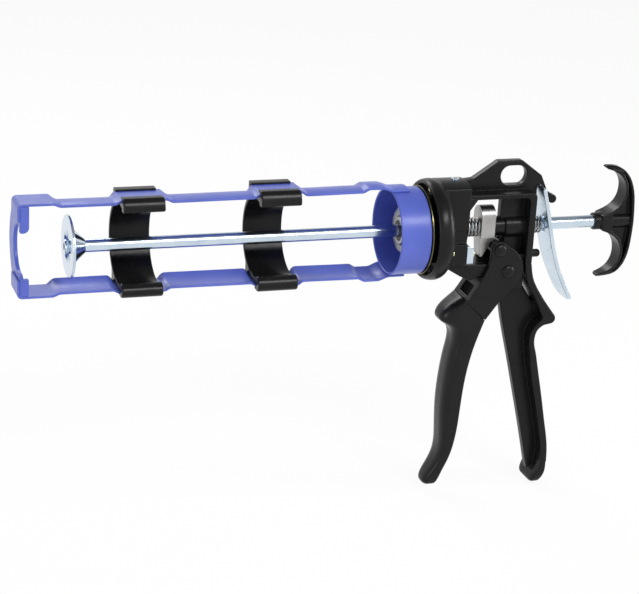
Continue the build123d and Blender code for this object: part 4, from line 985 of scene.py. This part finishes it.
def clip_outline(level):
    """A clip's section: a floor under each rail with lips round its edges, and a half-round band behind."""
    floor, cover, top = level - 1.55, level + 0.05, level + 1.3
    inner, outer = STRAP_NEAR - 0.05, STRAP_NEAR - LIP_REACH
    back = STRAP_FAR + 0.05
    near = [(inner, LIP_FOOT, 0.4), (outer, LIP_FOOT, 1.2), (outer, top, 1.2)]
    near += [(inner + LIP_REACH, top, 0.5), (inner + LIP_REACH, cover, 0)]
    near += [(inner, cover, 0), (inner, floor, 0)]
    far = [(back, floor, 0), (back, cover, 0), (back - LIP_REACH, cover, 0), (back - LIP_REACH, top, 0.5)]
    far += [(back + 3.3, top, 1.2), (back + 3.3, LIP_FOOT, 0.6), (back + 3.9, 20.7, 0)]
    outside = filleted([(inner, 24.0, 0)] + near + far)[1:] + arc((0, 0), BAND_OUTSIDE, 48.6, 0, 18)
    inside = arc((0, 0), BAND_INSIDE, 0, 26, 9) + arc((0, 0), 25.0, 26.6, 90, 22) + [(inner, 24.0)]
    outline = outside[:-1] + [(y, -z) for y, z in reversed(outside)]
    return outline + [(y, -z) for y, z in reversed(inside)] + inside[1:]


def make_clips():
    """The two clips that hold the rails together, each with a padded bar along its near lips."""
    for node, x, level in CLIP_PLACES:
        clip = plate(node + "_moulding", clip_outline(level), x - CLIP_HALF, x + CLIP_HALF, across="X")
        rounded(clip, 0.35, angle=40)
        foot, head, back = 22.3, level + 1.6, STRAP_NEAR - 0.05
        bars = []
        for name, turn, full in (("upper_bar", 1, 0.18), ("lower_bar", -1, 0.6)):
            belly = (back - 1.2, foot + full * (head - foot))
            pad = arc(belly, (PAD_DEPTH, head - belly[1]), 90, 180, 12)[:-1]
            pad += arc(belly, (PAD_DEPTH, belly[1] - foot), 180, 270, 8)
            section = [(y, turn * z) for y, z in pad + [(back, foot), (back, head)]]
            bar = plate(name, section, x - BAR_HALF, x + BAR_HALF, across="X")
            bars.append(rounded(bar, 1.0, segments=4, angle=50))
        worked(clip, "UNION", *bars)
        placed(clip, "cradle", "black_plastic", black_moulding, node)


make_clips()


def make_nut():
    """The hexagon nut on the spigot, with its corners turned off and a chamfer round its bore."""
    hexagon = arc((0, 0), ACROSS_FLATS / math.sqrt(3), 0, 300, 5)
    nut = plate("cradle_nut_hexagon", hexagon, -12.5, -0.5, across="X")
    blank = [
        (-10.8, NUT_BORE), (-11.4, 9.6), (-11.4, 13.4), (-10.3, 15.8), (-3.0, 15.8), (-1.9, 13.4),
        (-1.9, NUT_BORE), (-10.8, NUT_BORE),
    ]
    worked(nut, "INTERSECT", turned("blank", blank, steps=72))
    placed(rounded(nut, 0.25, segments=2, angle=25), "frame", "grey_steel", linished_steel, "cradle_nut")


make_nut()


# Studio

# Metres, but millimetres for the floor's level and for the eye's lens and sensor
FLOOR_LEVEL = -180.5
FLOOR_SIZE = 30.0
FLOOR_GLOW = 0.9
LIGHT_ALL_ROUND = 0.42
EYE_LENS, EYE_SENSOR = 112.19, 36.0
EYE_PLACE = (-0.4499, -1.1087, 0.3698)
EYE_RIGHT = (0.9485, -0.3123, 0.0528)
EYE_BACK = (-0.3117, -0.8909, 0.3303)


def mixed_rays(tree, most):
    """A share for rays from the eye and for those that mirrors and glass send on."""
    path = tree.nodes.new("ShaderNodeLightPath")
    total = path.outputs["Is Camera Ray"]
    for ray in ("Is Glossy Ray", "Is Transmission Ray"):
        either = tree.nodes.new("ShaderNodeMath")
        either.operation = "MAXIMUM"
        tree.links.new(total, either.inputs[0])
        tree.links.new(path.outputs[ray], either.inputs[1])
        total = either.outputs["Value"]
    share = tree.nodes.new("ShaderNodeMath")
    share.operation = "MULTIPLY"
    share.inputs[1].default_value = most
    tree.links.new(total, share.inputs[0])
    return share.outputs["Value"]


def add_mix(tree, first, second, output):
    """Mixes two shaders into an output and returns the mix's share socket."""
    mix = tree.nodes.new("ShaderNodeMixShader")
    tree.links.new(first, mix.inputs[1])
    tree.links.new(second, mix.inputs[2])
    tree.links.new(mix.outputs["Shader"], output.inputs["Surface"])
    return mix.inputs["Fac"]


def make_floor():
    """A wide pale floor that stays white to the eye and keeps the soft shadow under the gun."""
    bpy.ops.mesh.primitive_plane_add(size=FLOOR_SIZE, location=at(0, 0, FLOOR_LEVEL))
    floor = bpy.context.object
    floor.name = "studio_floor"
    bpy.ops.object.transform_apply(location=True, rotation=True, scale=True)
    paper, tree, shader, place = new_finish("studio_paper")
    shader.inputs["Roughness"].default_value = 0.9
    tones = [(0.3, (0.90, 0.90, 0.90)), (0.7, (0.92, 0.92, 0.92))]
    tree.links.new(ramp(tree, cloud(tree, place, 4.0), tones), shader.inputs["Base Color"])
    glow = tree.nodes.new("ShaderNodeEmission")
    glow.inputs["Strength"].default_value = 1.0
    share = add_mix(tree, shader.outputs["BSDF"], glow.outputs["Emission"], tree.nodes["Material Output"])
    tree.links.new(mixed_rays(tree, FLOOR_GLOW), share)
    floor.data.materials.append(paper)


def make_world():
    """White all round, falling to grey overhead, and plain soft light from every side."""
    world = bpy.data.worlds.new("studio")
    bpy.context.scene.world = world
    world.use_nodes = True
    tree = world.node_tree
    seen = tree.nodes["Background"]
    place = tree.nodes.new("ShaderNodeTexCoord").outputs["Generated"]
    split = tree.nodes.new("ShaderNodeSeparateXYZ")
    tree.links.new(place, split.inputs["Vector"])
    sky = [(0.30, (1.0, 1.0, 1.0)), (0.62, (0.42, 0.43, 0.45)), (1.0, (0.30, 0.31, 0.33))]
    tree.links.new(ramp(tree, split.outputs["Z"], sky), seen.inputs["Color"])
    light = tree.nodes.new("ShaderNodeBackground")
    light.inputs["Color"].default_value = (1.0, 1.0, 1.0, 1)
    light.inputs["Strength"].default_value = LIGHT_ALL_ROUND
    share = add_mix(tree, light.outputs["Background"], seen.outputs["Background"], tree.nodes["World Output"])
    tree.links.new(mixed_rays(tree, 1.0), share)


def add_lamp(name, place, aim, size, power):
    """A soft box turned towards a point on the gun."""
    bpy.ops.object.light_add(type="AREA", location=place)
    lamp = bpy.context.object
    lamp.name = name
    lamp.data.shape = "RECTANGLE"
    lamp.data.size, lamp.data.size_y = size
    lamp.data.energy = power
    lamp.rotation_mode = "QUATERNION"
    lamp.rotation_quaternion = (Vector(aim) - Vector(place)).to_track_quat("-Z", "Y")


def add_camera():
    """The eye of the photograph: left of the muzzle, a little above, with a slight tilt."""
    view = bpy.data.cameras.new("eye")
    view.lens = EYE_LENS
    view.sensor_width = EYE_SENSOR
    view.clip_start = 0.05
    view.clip_end = 60.0
    eye = bpy.data.objects.new("eye", view)
    bpy.context.scene.collection.objects.link(eye)
    right = Vector(EYE_RIGHT).normalized()
    back = Vector(EYE_BACK).normalized()
    up = back.cross(right).normalized()
    right = up.cross(back)
    eye.matrix_world = Matrix([*zip(right, up, back, EYE_PLACE), (0, 0, 0, 1)])
    bpy.context.scene.camera = eye


make_floor()
make_world()
add_lamp("key_box", (0.36, -1.12, 0.95), aim=(-0.05, 0, 0), size=(0.75, 0.36), power=12.0)
add_lamp("front_strip", (-1.45, -0.6, 0.25), aim=(-0.05, 0, -0.03), size=(0.25, 0.7), power=4.0)
add_lamp("side_box", (1.15, -0.35, 0.25), aim=(0.03, 0, 0.0), size=(0.3, 0.6), power=6.0)
add_lamp("back_box", (-0.4, 1.05, 0.85), aim=(-0.15, 0, 0), size=(1.0, 0.4), power=7.5)
add_camera()
bpy.context.scene.view_settings.view_transform = "Standard"
